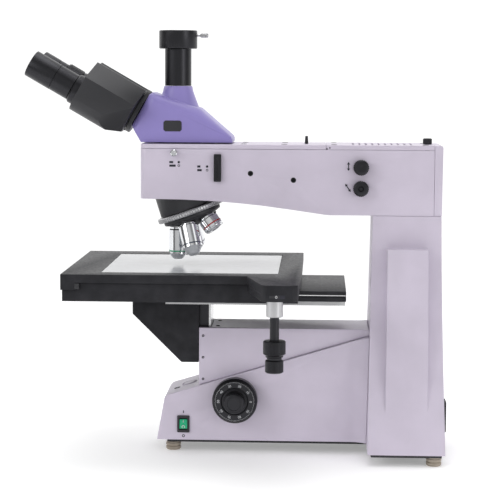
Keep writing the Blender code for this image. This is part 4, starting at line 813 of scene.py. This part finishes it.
class MICROSCOPE_OT_stage_knobs(bpy.types.Operator):
    """Coaxial X and Y knobs and their chrome sleeve"""

    bl_idname = "microscope.stage_knobs"
    bl_label = "Build Stage Knobs"

    def execute(self, context):
        centre = middle("knob_sleeve")
        origin = Vector((centre.x, centre.y, 0))
        low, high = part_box("knob_sleeve")
        bottom = low.z / MM
        top = high.z / MM
        radius = extent("knob_sleeve").y / 2
        sleeve = lathe([(5.6, bottom), (radius - 0.6, bottom), (radius, bottom + 0.6),
                        (radius, top - 0.2), (5.6, top - 0.2), (5.6, bottom)], origin, UP, 64)
        hand_over(sleeve, "chrome_sleeve", "x_carriage", "ground_steel", replaced=("knob_sleeve",))
        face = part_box("stage_top")[0].y / MM
        slot = plate([Vector((centre.x + x * MM, face * MM, centre.z + z * MM))
                      for x, z in ((0.5, 15.6), (12.5, 15.6), (12.5, 19.4), (0.5, 19.4))],
                     Vector((0, -0.1 * MM, 0)))
        hand_over(slot, "clamp_slot", "x_carriage", "black_plastic", "mark_ink", smooth=0)
        socket_screw(Vector((centre.x + 3.0 * MM, (face + 0.2) * MM, centre.z + 17.5 * MM)),
                     -ALONG_Y, 1.6, "clamp_screw", "x_carriage", "ground_steel")
        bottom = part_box("x_knob")[0].z / MM
        radius = 12.9 - sizes().ridge_height
        upper = lathe([(0.5, bottom), (radius - 0.8, bottom), (radius, bottom + 0.8),
                       (radius, bottom + 15.2), (radius - 0.8, bottom + 16), (7.0, bottom + 16.2),
                       (5.3, bottom + 16.2), (5.3, 206), (0.5, 206), (0.5, bottom)], origin, UP,
                      sizes().stage_ridges)
        cut_ridges(upper, band_test(origin, UP, bottom + 1, bottom + 15.1), 0.22,
                   sizes().ridge_height)
        hand_over(upper, "upper_grip", "x_drive", "black_anodised", replaced=("x_knob",))
        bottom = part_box("y_knob")[0].z / MM
        radius = 10.5 - sizes().ridge_height
        lower = lathe([(0, bottom), (radius - 1.2, bottom), (radius, bottom + 1),
                       (radius, bottom + 14.0), (radius - 0.4, bottom + 14.6),
                       (radius - 1.6, bottom + 15.2), (radius - 1.6, bottom + 17.4),
                       (radius - 0.3, bottom + 18.0),
                       (radius, bottom + 18.4), (radius, bottom + 19.3), (0, bottom + 19.5)],
                      origin, UP, sizes().stage_ridges - 8)
        cut_ridges(lower, band_test(origin, UP, bottom + 1.2, bottom + 13.9), 0.2,
                   sizes().ridge_height)
        hand_over(lower, "lower_grip", "y_drive", "black_anodised", replaced=("y_knob",))
        return {"FINISHED"}


# ---------------------------------------------------------------- arm

class MICROSCOPE_OT_arm_castings(bpy.types.Operator):
    """Arm casting with its covers and screws"""

    bl_idname = "microscope.arm_castings"
    bl_label = "Build Arm"

    def execute(self, context):
        edge = sizes().panel_edge
        for node, name, width in (("arm_casting", "arm_body", edge * 0.8),
                                  ("arm_front_cover", "arm_cover_front", edge),
                                  ("arm_rear_cover", "arm_cover_rear", edge),
                                  ("arm_back_cover", "arm_cover_back", edge)):
            soften(node, name, "stand", "lilac_paint", "housing_paint", width, 3, 32, 38)
        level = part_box("arm_front_cover")[1].z / MM - 0.2
        for number, (x, y) in enumerate(((81.4, 26), (130.5, 26), (81.4, -26), (130.5, -26),
                                         (190.5, 30), (190.5, -30), (300, 30), (300, -30)), 1):
            socket_screw(at(x, y, level), UP, 3.8, f"cover_screw_{number}", "stand")
        for number, (x, z) in enumerate(((181.9, 370.6), (185.2, 371.8)), 1):
            socket_screw(at(x, ARM_FACE_Y + 0.3, z), -ALONG_Y, 1.0, f"side_screw_{number}", "stand")
        return {"FINISHED"}


class MICROSCOPE_OT_arm_controls(bpy.types.Operator):
    """Rods, slider, lamp screws, lever and cover knob on the arm"""

    bl_idname = "microscope.arm_controls"
    bl_label = "Build Arm Controls"

    def execute(self, context):
        self.analyser()
        self.slider()
        self.centring()
        self.lamp_knobs()
        self.top_controls()
        self.marks()
        return {"FINISHED"}

    def analyser(self):
        """Polished pull knob on a thin rod."""
        centre = middle("analyser_rod")
        origin = Vector((centre.x, at(0, ARM_FACE_Y, 0).y, centre.z))
        rod = lathe([(0, -34), (1.7, -34), (1.7, 1.2), (2.4, 1.4), (3.6, 1.6), (4.15, 2.2),
                     (4.2, 3.0),
                     (4.2, 5.6), (4.0, 6.6), (3.2, 7.3), (1.6, 7.4), (1.2, 6.9), (0, 6.9)],
                    origin, -ALONG_Y, 48)
        hand_over(rod, "analyser_pull", "analyser", "bright_chrome", replaced=("analyser_rod",))

    def slider(self):
        """Filter slider with a grip groove down its face."""
        slider = copy_node("polariser_slider")
        low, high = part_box("polariser_slider")
        x = middle("polariser_slider").x
        groove = block(Vector((x - 1.1 * MM, low.y - MM, low.z + 4 * MM)),
                       Vector((x + 1.1 * MM, low.y + 1.4 * MM, high.z - 4 * MM)))
        shape_with(slider, groove)
        round_edges(slider, 0.5, 2, 32)
        hand_over(slider, "filter_slider", "polariser", "black_anodised",
                  replaced=("polariser_slider",))

    def centring(self):
        """Sunk centring screws with hexagon sockets, in rimmed holes."""
        for number, (x, z) in enumerate(((90.5, 340.5), (142.0, 332.9)), 1):
            origin = at(x, ARM_FACE_Y, z)
            screw = lathe([(0, -2.6), (2.7, -2.6), (2.7, -7.0), (0, -7.0)], origin, -ALONG_Y, 32)
            socket = lathe([(0, -1.0), (1.4, -1.0), (1.4, -5.2), (0, -5.2)], origin, -ALONG_Y, 6)
            shape_with(screw, socket)
            hand_over(screw, f"centring_screw_{number}", "stand", "black_plastic")
            rim = lathe([(2.55, 0.1), (3.25, 0.1), (3.25, -0.6), (2.55, -2.4), (2.55, 0.1)], origin,
                        -ALONG_Y, 40)
            hand_over(rim, f"centring_rim_{number}", "stand", "black_plastic")

    def lamp_knobs(self):
        """Ridged lamp-centring knobs with a dimple in the lower one."""
        for node, body, dimple in (("lamp_knob_upper", "lamp_adjuster_upper", 0.3),
                                   ("lamp_knob_lower", "lamp_adjuster_lower", 1.6)):
            centre = middle(node)
            origin = Vector((centre.x, at(0, ARM_FACE_Y, 0).y, centre.z))
            ridge = 0.7
            radius = 9.4 - ridge
            knob = lathe([(0, -12), (2.7, -12), (2.7, 0.8), (radius - 0.8, 1.0), (radius, 1.9),
                          (radius, 10.8), (radius - 0.5, 11.6), (radius - 1.4, 12), (3.4, 12.1),
                          (2.2, 12.1 - dimple), (0, 12.1 - dimple)], origin, -ALONG_Y, 26)
            cut_ridges(knob, band_test(origin, -ALONG_Y, 2, 10.7), 0.5, ridge)
            hand_over(knob, node.replace("lamp_knob", "lamp_grip"), body, "black_anodised",
                      replaced=(node,))

    def top_controls(self):
        """Iris lever and the knurled knob that holds the rear cover."""
        soften("iris_lever", "iris_arm", "iris", "black_plastic", width=0.3, angle=40)
        centre = middle("cover_knob")
        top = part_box("cover_knob")[1].z / MM
        origin = Vector((centre.x, centre.y, 0))
        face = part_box("arm_rear_cover")[1].z / MM
        knob = lathe([(0, face - 8), (2.6, face - 8), (2.6, face + 0.3), (5.0, face + 0.3),
                      (5.2, face + 0.6), (5.2, top - 0.8), (4.6, top - 0.1), (2.2, top),
                      (1.8, top - 0.5), (0, top - 0.5)], origin, UP, 40)
        cut_ridges(knob, band_test(origin, UP, face + 0.7, top - 0.9), 0.15, 0.3)
        hand_over(knob, "cover_fastener_knob", "cover_fastener", "black_plastic",
                  replaced=("cover_knob",))

    def marks(self):
        """Small printed marks that show how the rod, slider and lamp screws move."""
        face = ARM_FACE_Y - PRINT_GAP
        bar_height = 2.6
        spot = 1.5
        hole = 0.8
        parts = []
        for x, z, width in ((-7.0, 352.2, 4.6), (-7.0, 348.0, 7.6), (26.6, 347.2, 3.8),
                            (26.6, 342.8, 5.4)):
            parts.append(plate([at(x, face, z), at(x + width, face, z),
                                at(x + width, face, z + bar_height), at(x, face, z + bar_height)],
                               PRINT_LIFT))
        for x, z in ((4.4, 353.5), (38.4, 348.5)):
            parts.append(lathe([(0, 0), (spot, 0), (spot, PRINT_RISE), (0, PRINT_RISE)],
                               at(x, face, z), -ALONG_Y, 20))
        for x, z in ((4.4, 349.3), (38.4, 344.1)):
            parts.append(lathe([(hole, 0), (spot, 0), (spot, PRINT_RISE), (hole, PRINT_RISE),
                                (hole, 0)], at(x, face, z), -ALONG_Y, 20))
        for start, end in ((at(207.7, face, 352.2), at(207.7, face, 347.4)),
                           (at(205.6, face, 326.6), at(208.9, face, 321.8))):
            along = (end - start).normalized()
            across = along.cross(ALONG_Y)
            parts.append(strip(start, end, 1.2, PRINT_LIFT))
            for tip, way in ((start, -1), (end, 1)):
                parts.append(plate([tip + across * 1.9 * MM, tip + along * way * 3.0 * MM,
                                    tip - across * 1.9 * MM], PRINT_LIFT))
        marks = join(*parts)
        hand_over(marks, "arm_marks", "stand", "black_plastic", "mark_ink", smooth=0)


# ---------------------------------------------------------------- nosepiece

def seat_direction(index):
    """Direction of an objective's axis; number 0 looks straight down."""
    return (Matrix.Rotation(-2 * math.pi * index / 5, 3,
                            TURRET_AXIS) @ Vector((0, 0, -1))).normalized()


class MICROSCOPE_OT_turret(bpy.types.Operator):
    """Nosepiece body, knurled ring and dish"""

    bl_idname = "microscope.turret"
    bl_label = "Build Nosepiece"

    def execute(self, context):
        soften("nosepiece_body", "nosepiece_cone", "stand", "black_paint", width=0.5, angle=40,
               smooth=50)
        radius = 42.0
        ring = lathe([(34.8, 42.3), (radius - 1.0, 42.3), (radius, 43.2), (radius, 47.4),
                      (radius - 1.0, 48.3), (34.8, 48.3), (34.8, 42.3)], TURRET_PIVOT, TURRET_AXIS,
                     sizes().ring_ridges)
        cut_ridges(ring, band_test(TURRET_PIVOT, TURRET_AXIS, 43.3, 47.3), 0.6, -1.3)
        hand_over(ring, "knurled_ring", "turret", "ground_steel", replaced=("turret_ring",))
        apex = 62.2 / math.cos(TURRET_LEAN)
        slope = math.tan(TURRET_LEAN)
        dish = lathe([(0, 42.8), (34.4, 42.8), (34.4, 48.6), (35.6, 48.7), (36, 49.2),
                      (36, apex - 36 * slope - 0.8), (35.2, apex - 35.2 * slope),
                      (6, apex - 6 * slope), (4.4, apex - 5.4 * slope), (0, apex - 5.4 * slope)],
                     TURRET_PIVOT, TURRET_AXIS, 96)
        hand_over(dish, "turret_cone", "turret", "black_paint", replaced=("turret_dish",))
        plug = lathe([(0, SEAT_LEVEL), (10.4, SEAT_LEVEL), (10.4, 64.9), (9.8, 65.5),
                      (8.6, 65.6), (8.2, 66.3), (0, 66.5)], TURRET_PIVOT, seat_direction(3), 48)
        grip = band_test(TURRET_PIVOT, seat_direction(3), SEAT_LEVEL + 0.1, 64.8)
        cut_ridges(plug, grip, 0.2, 0.25)
        hand_over(plug, "dust_plug", "turret", "black_plastic", replaced=("seat_plug",))
        return {"FINISHED"}


class MICROSCOPE_OT_objectives(bpy.types.Operator):
    """Four chromed objectives with collars and colour bands"""

    bl_idname = "microscope.objectives"
    bl_label = "Build Objectives"

    def execute(self, context):
        # The 20x band's green_lens finish carries the same painted glow as the rocker.
        kinds = ((0, "objective_20x", 39.4, 11.1, 6.0, 6.5, "green_lens"),
                 (1, "objective_50x", 39.2, 12.2, 6.2, 9.0, "lens_glass"),
                 (2, "objective_5x", 18.0, 12.6, 10.6, 2.8, "red_band"),
                 (4, "objective_10x", 36.0, 11.8, 6.5, 6.0, "dial_ink"))
        for index, node, length, radius, tip, nose, band in kinds:
            axis = seat_direction(index)
            start = SEAT_LEVEL
            end = start + length
            shoulder = end - nose
            profile = [(0, start), (9.6, start), (9.6, start + 2.2), (radius - 0.8, start + 2.6),
                       (radius, start + 3.6), (radius, shoulder - 4.4),
                       (radius - 0.35, shoulder - 4.2),
                       (radius - 0.35, shoulder - 2.9), (radius, shoulder - 2.7),
                       (radius, shoulder),
                       (radius - 0.5, shoulder + 0.6), (radius - 1.1, shoulder + 0.8),
                       (tip + 1.6, end - nose * 0.35), (tip + 0.6, end - 1.4), (tip, end - 0.5),
                       (tip - 0.8, end), (tip * 0.55, end), (tip * 0.5, end - 0.5)]
            barrel = lathe(profile + [(0, end - 0.5)], TURRET_PIVOT, axis, 72)
            cut_ridges(barrel, band_test(TURRET_PIVOT, axis, start + 2.65, start + 3.55), 0.1, 0.0)
            hand_over(barrel, node.replace("objective", "barrel"), "turret", "bright_chrome",
                      replaced=(node,))
            low = shoulder - 4.1
            high = shoulder - 3.0
            inner = radius - 0.36
            ring = lathe([(inner, low), (inner + 0.3, low), (inner + 0.3, high), (inner, high),
                          (inner, low)], TURRET_PIVOT, axis, 72)
            hand_over(ring, node.replace("objective", "colour_band"), "turret", "bright_chrome",
                      band)
            lens = lathe([(0, end - 0.2), (tip * 0.3, end - 0.25), (tip * 0.48, end - 0.45),
                          (0, end - 0.48)], TURRET_PIVOT, axis, 40)
            hand_over(lens, node.replace("objective", "front_lens"), "turret", "plate_glass",
                      "lens_glass")
        return {"FINISHED"}


# ---------------------------------------------------------------- viewing head

class MICROSCOPE_OT_head(bpy.types.Operator):
    """Violet head housing with its rounded shoulders and a plain badge"""

    bl_idname = "microscope.head"
    bl_label = "Build Head"

    def execute(self, context):
        outline = [(-42.3, 376.9), (-54.1, 397.2), (-32.8, 434.1), (-28.9, 436.6), (28.4, 417.4),
                   (66.2, 384.6), (67.6, 381.0), (67.9, 376.9)]
        head = plate([at(x, HEAD_FACE_Y, z) for x, z in outline], ALONG_Y * -2 * HEAD_FACE_Y * MM)
        self.round_shoulders(head)
        boss = lathe([(0, 404), (31.0, 404), (26.6, 416), (22.0, 428), (18.4, 438), (17.4, 443.2),
                      (16.6, 444.2), (0, 444.2)], at(0, 0, 0), UP, 64)
        shape_with(head, boss, "UNION")
        round_edges(head, 0.9, 3, 34)
        pedestal = lathe([(0, 375.3), (29.6, 375.3), (30, 375.7), (30, 378.4), (0, 378.4)],
                         at(0, 0, 0), UP, 64)
        hand_over(pedestal, "head_pedestal", "head", "black_anodised")
        hand_over(head, "head_shell", "head", "violet_paint", "head_paint", ("head_housing",), 40)
        corners = ((-13, 390), (5, 390), (7, 392), (7, 401), (5, 403), (-13, 403), (-15, 401),
                   (-15, 392))
        badge = plate([at(x, HEAD_FACE_Y, z) for x, z in corners], ALONG_Y * -0.5 * MM)
        round_edges(badge, 0.2, 2)
        hand_over(badge, "plain_badge", "head", "black_plastic")
        return {"FINISHED"}

    def round_shoulders(self, head):
        """Bevel the long upper edges of both sides."""
        edit(head, "EDGE")
        bpy.ops.mesh.select_all(action="DESELECT")
        done()
        mesh = head.data
        for edge in mesh.edges:
            points = [mesh.vertices[index].co for index in edge.vertices]
            lengthwise = abs(points[0].y - points[1].y) < 0.1 * MM
            high = min(point.z for point in points) > 382.0 * MM
            forward = max(point.x for point in points) > at(-34, 0, 0).x
            edge.select = lengthwise and high and forward
        edit(head, "EDGE")
        bpy.ops.mesh.bevel(offset=11 * MM, segments=8, profile=0.5)
        done()


class MICROSCOPE_OT_binocular(bpy.types.Operator):
    """Hinge hub and the two prism barrels"""

    bl_idname = "microscope.binocular"
    bl_label = "Build Binocular"

    def execute(self, context):
        hub = lathe([(0, -2.7), (28.0, -2.7), (28.7, -2.2), (28.7, 2.2), (28.2, 2.6), (26.4, 2.6),
                     (26.4, 69.5), (25.4, 70.6), (23.8, 71), (8.0, 71), (7.2, 70.2), (0, 70.2)],
                    VIEW_ORIGIN, VIEW_UP, 96)
        hand_over(hub, "hinge_hub", "head", "black_paint", replaced=("binocular_hub",))
        for word in ("right", "left"):
            soften(f"prism_barrel_{word}", f"barrel_cover_{word}", f"{word}_wing", "black_paint",
                   width=0.8, segments=3, angle=32, smooth=40)
        return {"FINISHED"}


class MICROSCOPE_OT_eyepieces(bpy.types.Operator):
    """Eyetubes, diopter ring and eyepieces with their lenses"""

    bl_idname = "microscope.eyepieces"
    bl_label = "Build Eyepieces"

    def execute(self, context):
        for side, word in ((-1, "right"), (1, "left")):
            origin = eye_origin(side)
            body = f"{word}_wing"
            if side < 0:
                tube_profile = [(11.7, 71.3), (18.0, 71.3), (18.5, 71.8), (18.5, 77.6),
                                (18.0, 78.2), (17.2, 79.2), (11.7, 79.3), (11.7, 71.3)]
                start = 79.6
                groove = 104.0
            else:
                tube_profile = [(11.7, 71.3), (18.0, 71.3), (18.5, 71.8), (18.5, 81.8),
                                (17.4, 83.6), (14, 83.7), (14, 105), (11.7, 105), (11.7, 71.3)]
                start = 105.3
                groove = 116.0
            tube = lathe(tube_profile, origin, VIEW_UP, 72)
            hand_over(tube, f"eyetube_shell_{word}", body, "black_anodised",
                      replaced=(f"eyetube_{word}",))
            radius = 16.6
            profile = [(4, 72.3), (11.6, 72.3), (11.6, start), (radius - 0.7, start),
                       (radius - 0.2, start + 0.6), (radius - 0.2, groove - 0.5),
                       (radius - 0.9, groove - 0.2), (radius - 0.9, groove + 0.4),
                       (radius, groove + 0.7), (radius, 137.2), (radius - 0.4, 138.0),
                       (radius - 1.3, 138.4), (13.4, 138.3), (12.6, 137.2), (11.8, 134.4),
                       (4, 132.4), (4, 72.3)]
            eyepiece = lathe(profile, origin, VIEW_UP, 80)
            hand_over(eyepiece, f"eyepiece_body_{word}", body, "black_anodised",
                      replaced=(f"eyepiece_{word}",))
            lens = lathe([(0, 135.6), (4, 135.4), (8, 134.9), (11.4, 134.3), (11.4, 133.9),
                          (0, 133.4)],
                         origin, VIEW_UP, 56)
            hand_over(lens, f"eye_lens_{word}", body, "plate_glass", "lens_glass")
        origin = eye_origin(1)
        ring = lathe([(14.2, 84), (18.2, 84), (18.7, 84.6), (18.7, 103.4), (18.0, 104.8),
                      (14.2, 105), (14.2, 84)], origin, VIEW_UP, 90)
        cut_ridges(ring, band_test(origin, VIEW_UP, 85, 103), 0.15, 0.3)
        hand_over(ring, "diopter_grip", "diopter", "black_anodised", replaced=("diopter_ring",))
        return {"FINISHED"}


class MICROSCOPE_OT_camera_port(bpy.types.Operator):
    """Photo tube, camera ring and its thumbscrew"""

    bl_idname = "microscope.camera_port"
    bl_label = "Build Camera Port"

    def execute(self, context):
        low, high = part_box("photo_tube")
        bottom = low.z / MM
        top = high.z / MM
        radius = extent("photo_tube").x / 2
        origin = at(0, 0, 0)
        tube = lathe([(12, bottom), (radius - 0.3, bottom), (radius, bottom + 0.3), (radius, top),
                      (12, top), (12, bottom)], origin, UP, 80)
        hand_over(tube, "photo_tube_shell", "head", "black_anodised", replaced=("photo_tube",))
        low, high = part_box("camera_ring")
        bottom = low.z / MM
        top = high.z / MM
        ring = lathe([(12, bottom), (22.0, bottom), (22.9, bottom + 0.5), (23.2, bottom + 1.2),
                      (23.2, top - 0.9), (22.5, top), (20.0, top), (19.2, top - 0.8),
                      (19.2, bottom + 3.2), (12, bottom + 3.2), (12, bottom)], origin, UP, 96)
        screw_at = at(0, 0, 505.4)
        shape_with(ring, lathe([(0, 17), (1.9, 17), (1.9, 25), (0, 25)], screw_at, ALONG_X, 24))
        hand_over(ring, "camera_ring_shell", "head", "black_anodised", replaced=("camera_ring",))
        screw = lathe([(0, 19.5), (1.5, 19.5), (1.5, 27.2), (2.3, 27.3), (2.6, 27.8), (2.6, 36.0),
                       (2.2, 36.7), (0, 36.8)], screw_at, ALONG_X, 36)
        cut_ridges(screw, band_test(screw_at, ALONG_X, 27.9, 35.9), 0.08, 0.2)
        hand_over(screw, "clamp_screw", "thumbscrew", "black_anodised", "ground_steel",
                  ("port_thumbscrew",))
        out = Vector((-13.3, -19.0, 0)).normalized()
        socket_screw(at(0, 0, 496.0) + out * 22.9 * MM, out, 1.3, "ring_set_screw", "head")
        return {"FINISHED"}


# ---------------------------------------------------------------- studio

class MICROSCOPE_OT_studio(bpy.types.Operator):
    """Pale floor, soft lights and the camera"""

    bl_idname = "microscope.studio"
    bl_label = "Set Up Studio"

    def execute(self, context):
        bpy.ops.object.select_all(action="DESELECT")
        bpy.ops.mesh.primitive_plane_add(size=1, location=(0, 0.25, 0))
        floor = context.object
        bpy.ops.transform.resize(value=(16, 2.7, 1))
        square_up(floor)
        floor.name = "studio_floor"
        look = Shading("floor_white")
        look.set(Roughness=0.9, Emission_Color=(1, 1, 1, 1), Emission_Strength=0.27)
        look.tint(look.noise(1.5, 2), (0.93, 0.93, 0.935), (0.96, 0.96, 0.96))
        floor.data.materials.append(look.material)
        self.surroundings(context)
        lamps = (("key_light", (-1.9, -1.6, 1.3), 1.1, 15),
                 ("fill_light", (2.0, -1.7, 0.5), 0.8, 9), ("top_light", (0.1, 0.1, 2.4), 1.2, 14))
        for name, place, size, power in lamps:
            bpy.ops.object.light_add(type="AREA", location=place)
            lamp = context.object
            lamp.name = name
            lamp.data.size = size
            lamp.data.energy = power
            aim = UP * 0.25 - Vector(place)
            lamp.rotation_euler = aim.to_track_quat("-Z", "Y").to_euler()
        self.camera(context)
        return {"FINISHED"}

    def surroundings(self, context):
        """Light studio with two darker bands, which give bright metal its contrast."""
        world = bpy.data.worlds.new("studio_world")
        context.scene.world = world
        world.use_nodes = True
        tree = world.node_tree
        place = tree.nodes.new("ShaderNodeTexCoord")
        split = tree.nodes.new("ShaderNodeSeparateXYZ")
        level = tree.nodes.new("ShaderNodeFloatCurve")
        curve = level.mapping.curves[0]
        curve.points[0].location = (-1.0, 0.60)
        curve.points[1].location = (1.0, 1.10)
        for distance, strength in ((-0.84, 0.52), (-0.72, 0.12), (-0.60, 0.12), (-0.46, 1.00),
                                   (-0.34, 0.95), (-0.22, 0.14), (0.16, 0.14), (0.36, 1.05)):
            curve.points.new(distance, strength)
        level.mapping.use_clip = False
        level.mapping.update()
        overhead = tree.nodes.new("ShaderNodeMath")
        overhead.operation = "MULTIPLY_ADD"
        overhead.inputs[1].default_value = 0.25
        tree.links.new(split.outputs["Z"], overhead.inputs[0])
        tree.links.new(level.outputs["Value"], overhead.inputs[2])
        tree.links.new(place.outputs["Generated"], split.inputs["Vector"])
        tree.links.new(split.outputs["Y"], level.inputs["Value"])
        tree.links.new(overhead.outputs["Value"], tree.nodes["Background"].inputs["Strength"])
        tree.nodes["Background"].inputs["Color"].default_value = (1, 1, 1, 1)
        context.scene.view_settings.view_transform = "Standard"

    def camera(self, context):
        """Long lens, seen from the right side and a little above."""
        yaw, pitch, roll = math.radians(-2.578), math.radians(5.773), math.radians(0.287)
        forward = Vector((math.sin(yaw) * math.cos(pitch), math.cos(yaw) * math.cos(pitch),
                          -math.sin(pitch)))
        right = Vector((math.cos(yaw), -math.sin(yaw), 0))
        upward = right.cross(forward)
        turned_right = right * math.cos(roll) + upward * math.sin(roll)
        turned_up = upward * math.cos(roll) - right * math.sin(roll)
        bpy.ops.object.camera_add()
        camera = context.object
        camera.name = "studio_camera"
        turn = Matrix((turned_right, turned_up, -forward)).transposed().to_4x4()
        camera.matrix_world = Matrix.Translation(at(172.48, -2115.40, 459.67)) @ turn
        camera.data.lens = 126.44
        camera.data.sensor_width = 36
        camera.data.sensor_fit = "HORIZONTAL"
        camera.data.shift_x = 0.01185
        camera.data.shift_y = -0.0029
        camera.data.clip_end = 30
        context.scene.camera = camera


OPERATORS = (
    MICROSCOPE_OT_finishes, MICROSCOPE_OT_castings, MICROSCOPE_OT_feet, MICROSCOPE_OT_switch,
    MICROSCOPE_OT_focus_knobs, MICROSCOPE_OT_stage_plates, MICROSCOPE_OT_stage_knobs,
    MICROSCOPE_OT_arm_castings, MICROSCOPE_OT_arm_controls, MICROSCOPE_OT_turret,
    MICROSCOPE_OT_objectives, MICROSCOPE_OT_head, MICROSCOPE_OT_binocular,
    MICROSCOPE_OT_eyepieces, MICROSCOPE_OT_camera_port, MICROSCOPE_OT_studio,
)


class MICROSCOPE_PT_build(bpy.types.Panel):
    """Lists the build steps, the sizes and the colours"""

    bl_label = "Microscope"
    bl_idname = "MICROSCOPE_PT_build"
    bl_space_type = "VIEW_3D"
    bl_region_type = "UI"
    bl_category = "Microscope"

    def draw(self, context):
        for group in (context.scene.microscope_sizes, context.scene.microscope_finishes):
            box = self.layout.box()
            for name in group.bl_rna.properties.keys():
                if name not in ("rna_type", "name"):
                    box.prop(group, name)
        for operator in OPERATORS:
            self.layout.operator(operator.bl_idname)


CLASSES = (MicroscopeFinishes, MicroscopeSizes) + OPERATORS + (MICROSCOPE_PT_build,)


def register():
    for item in CLASSES:
        bpy.utils.register_class(item)
    bpy.types.Scene.microscope_sizes = bpy.props.PointerProperty(type=MicroscopeSizes)
    bpy.types.Scene.microscope_finishes = bpy.props.PointerProperty(type=MicroscopeFinishes)


def unregister():
    del bpy.types.Scene.microscope_finishes
    del bpy.types.Scene.microscope_sizes
    for item in reversed(CLASSES):
        bpy.utils.unregister_class(item)


def main():
    register()
    for operator in OPERATORS:
        getattr(bpy.ops.microscope, operator.bl_idname.split(".")[1])()


if __name__ == "__main__":
    main()
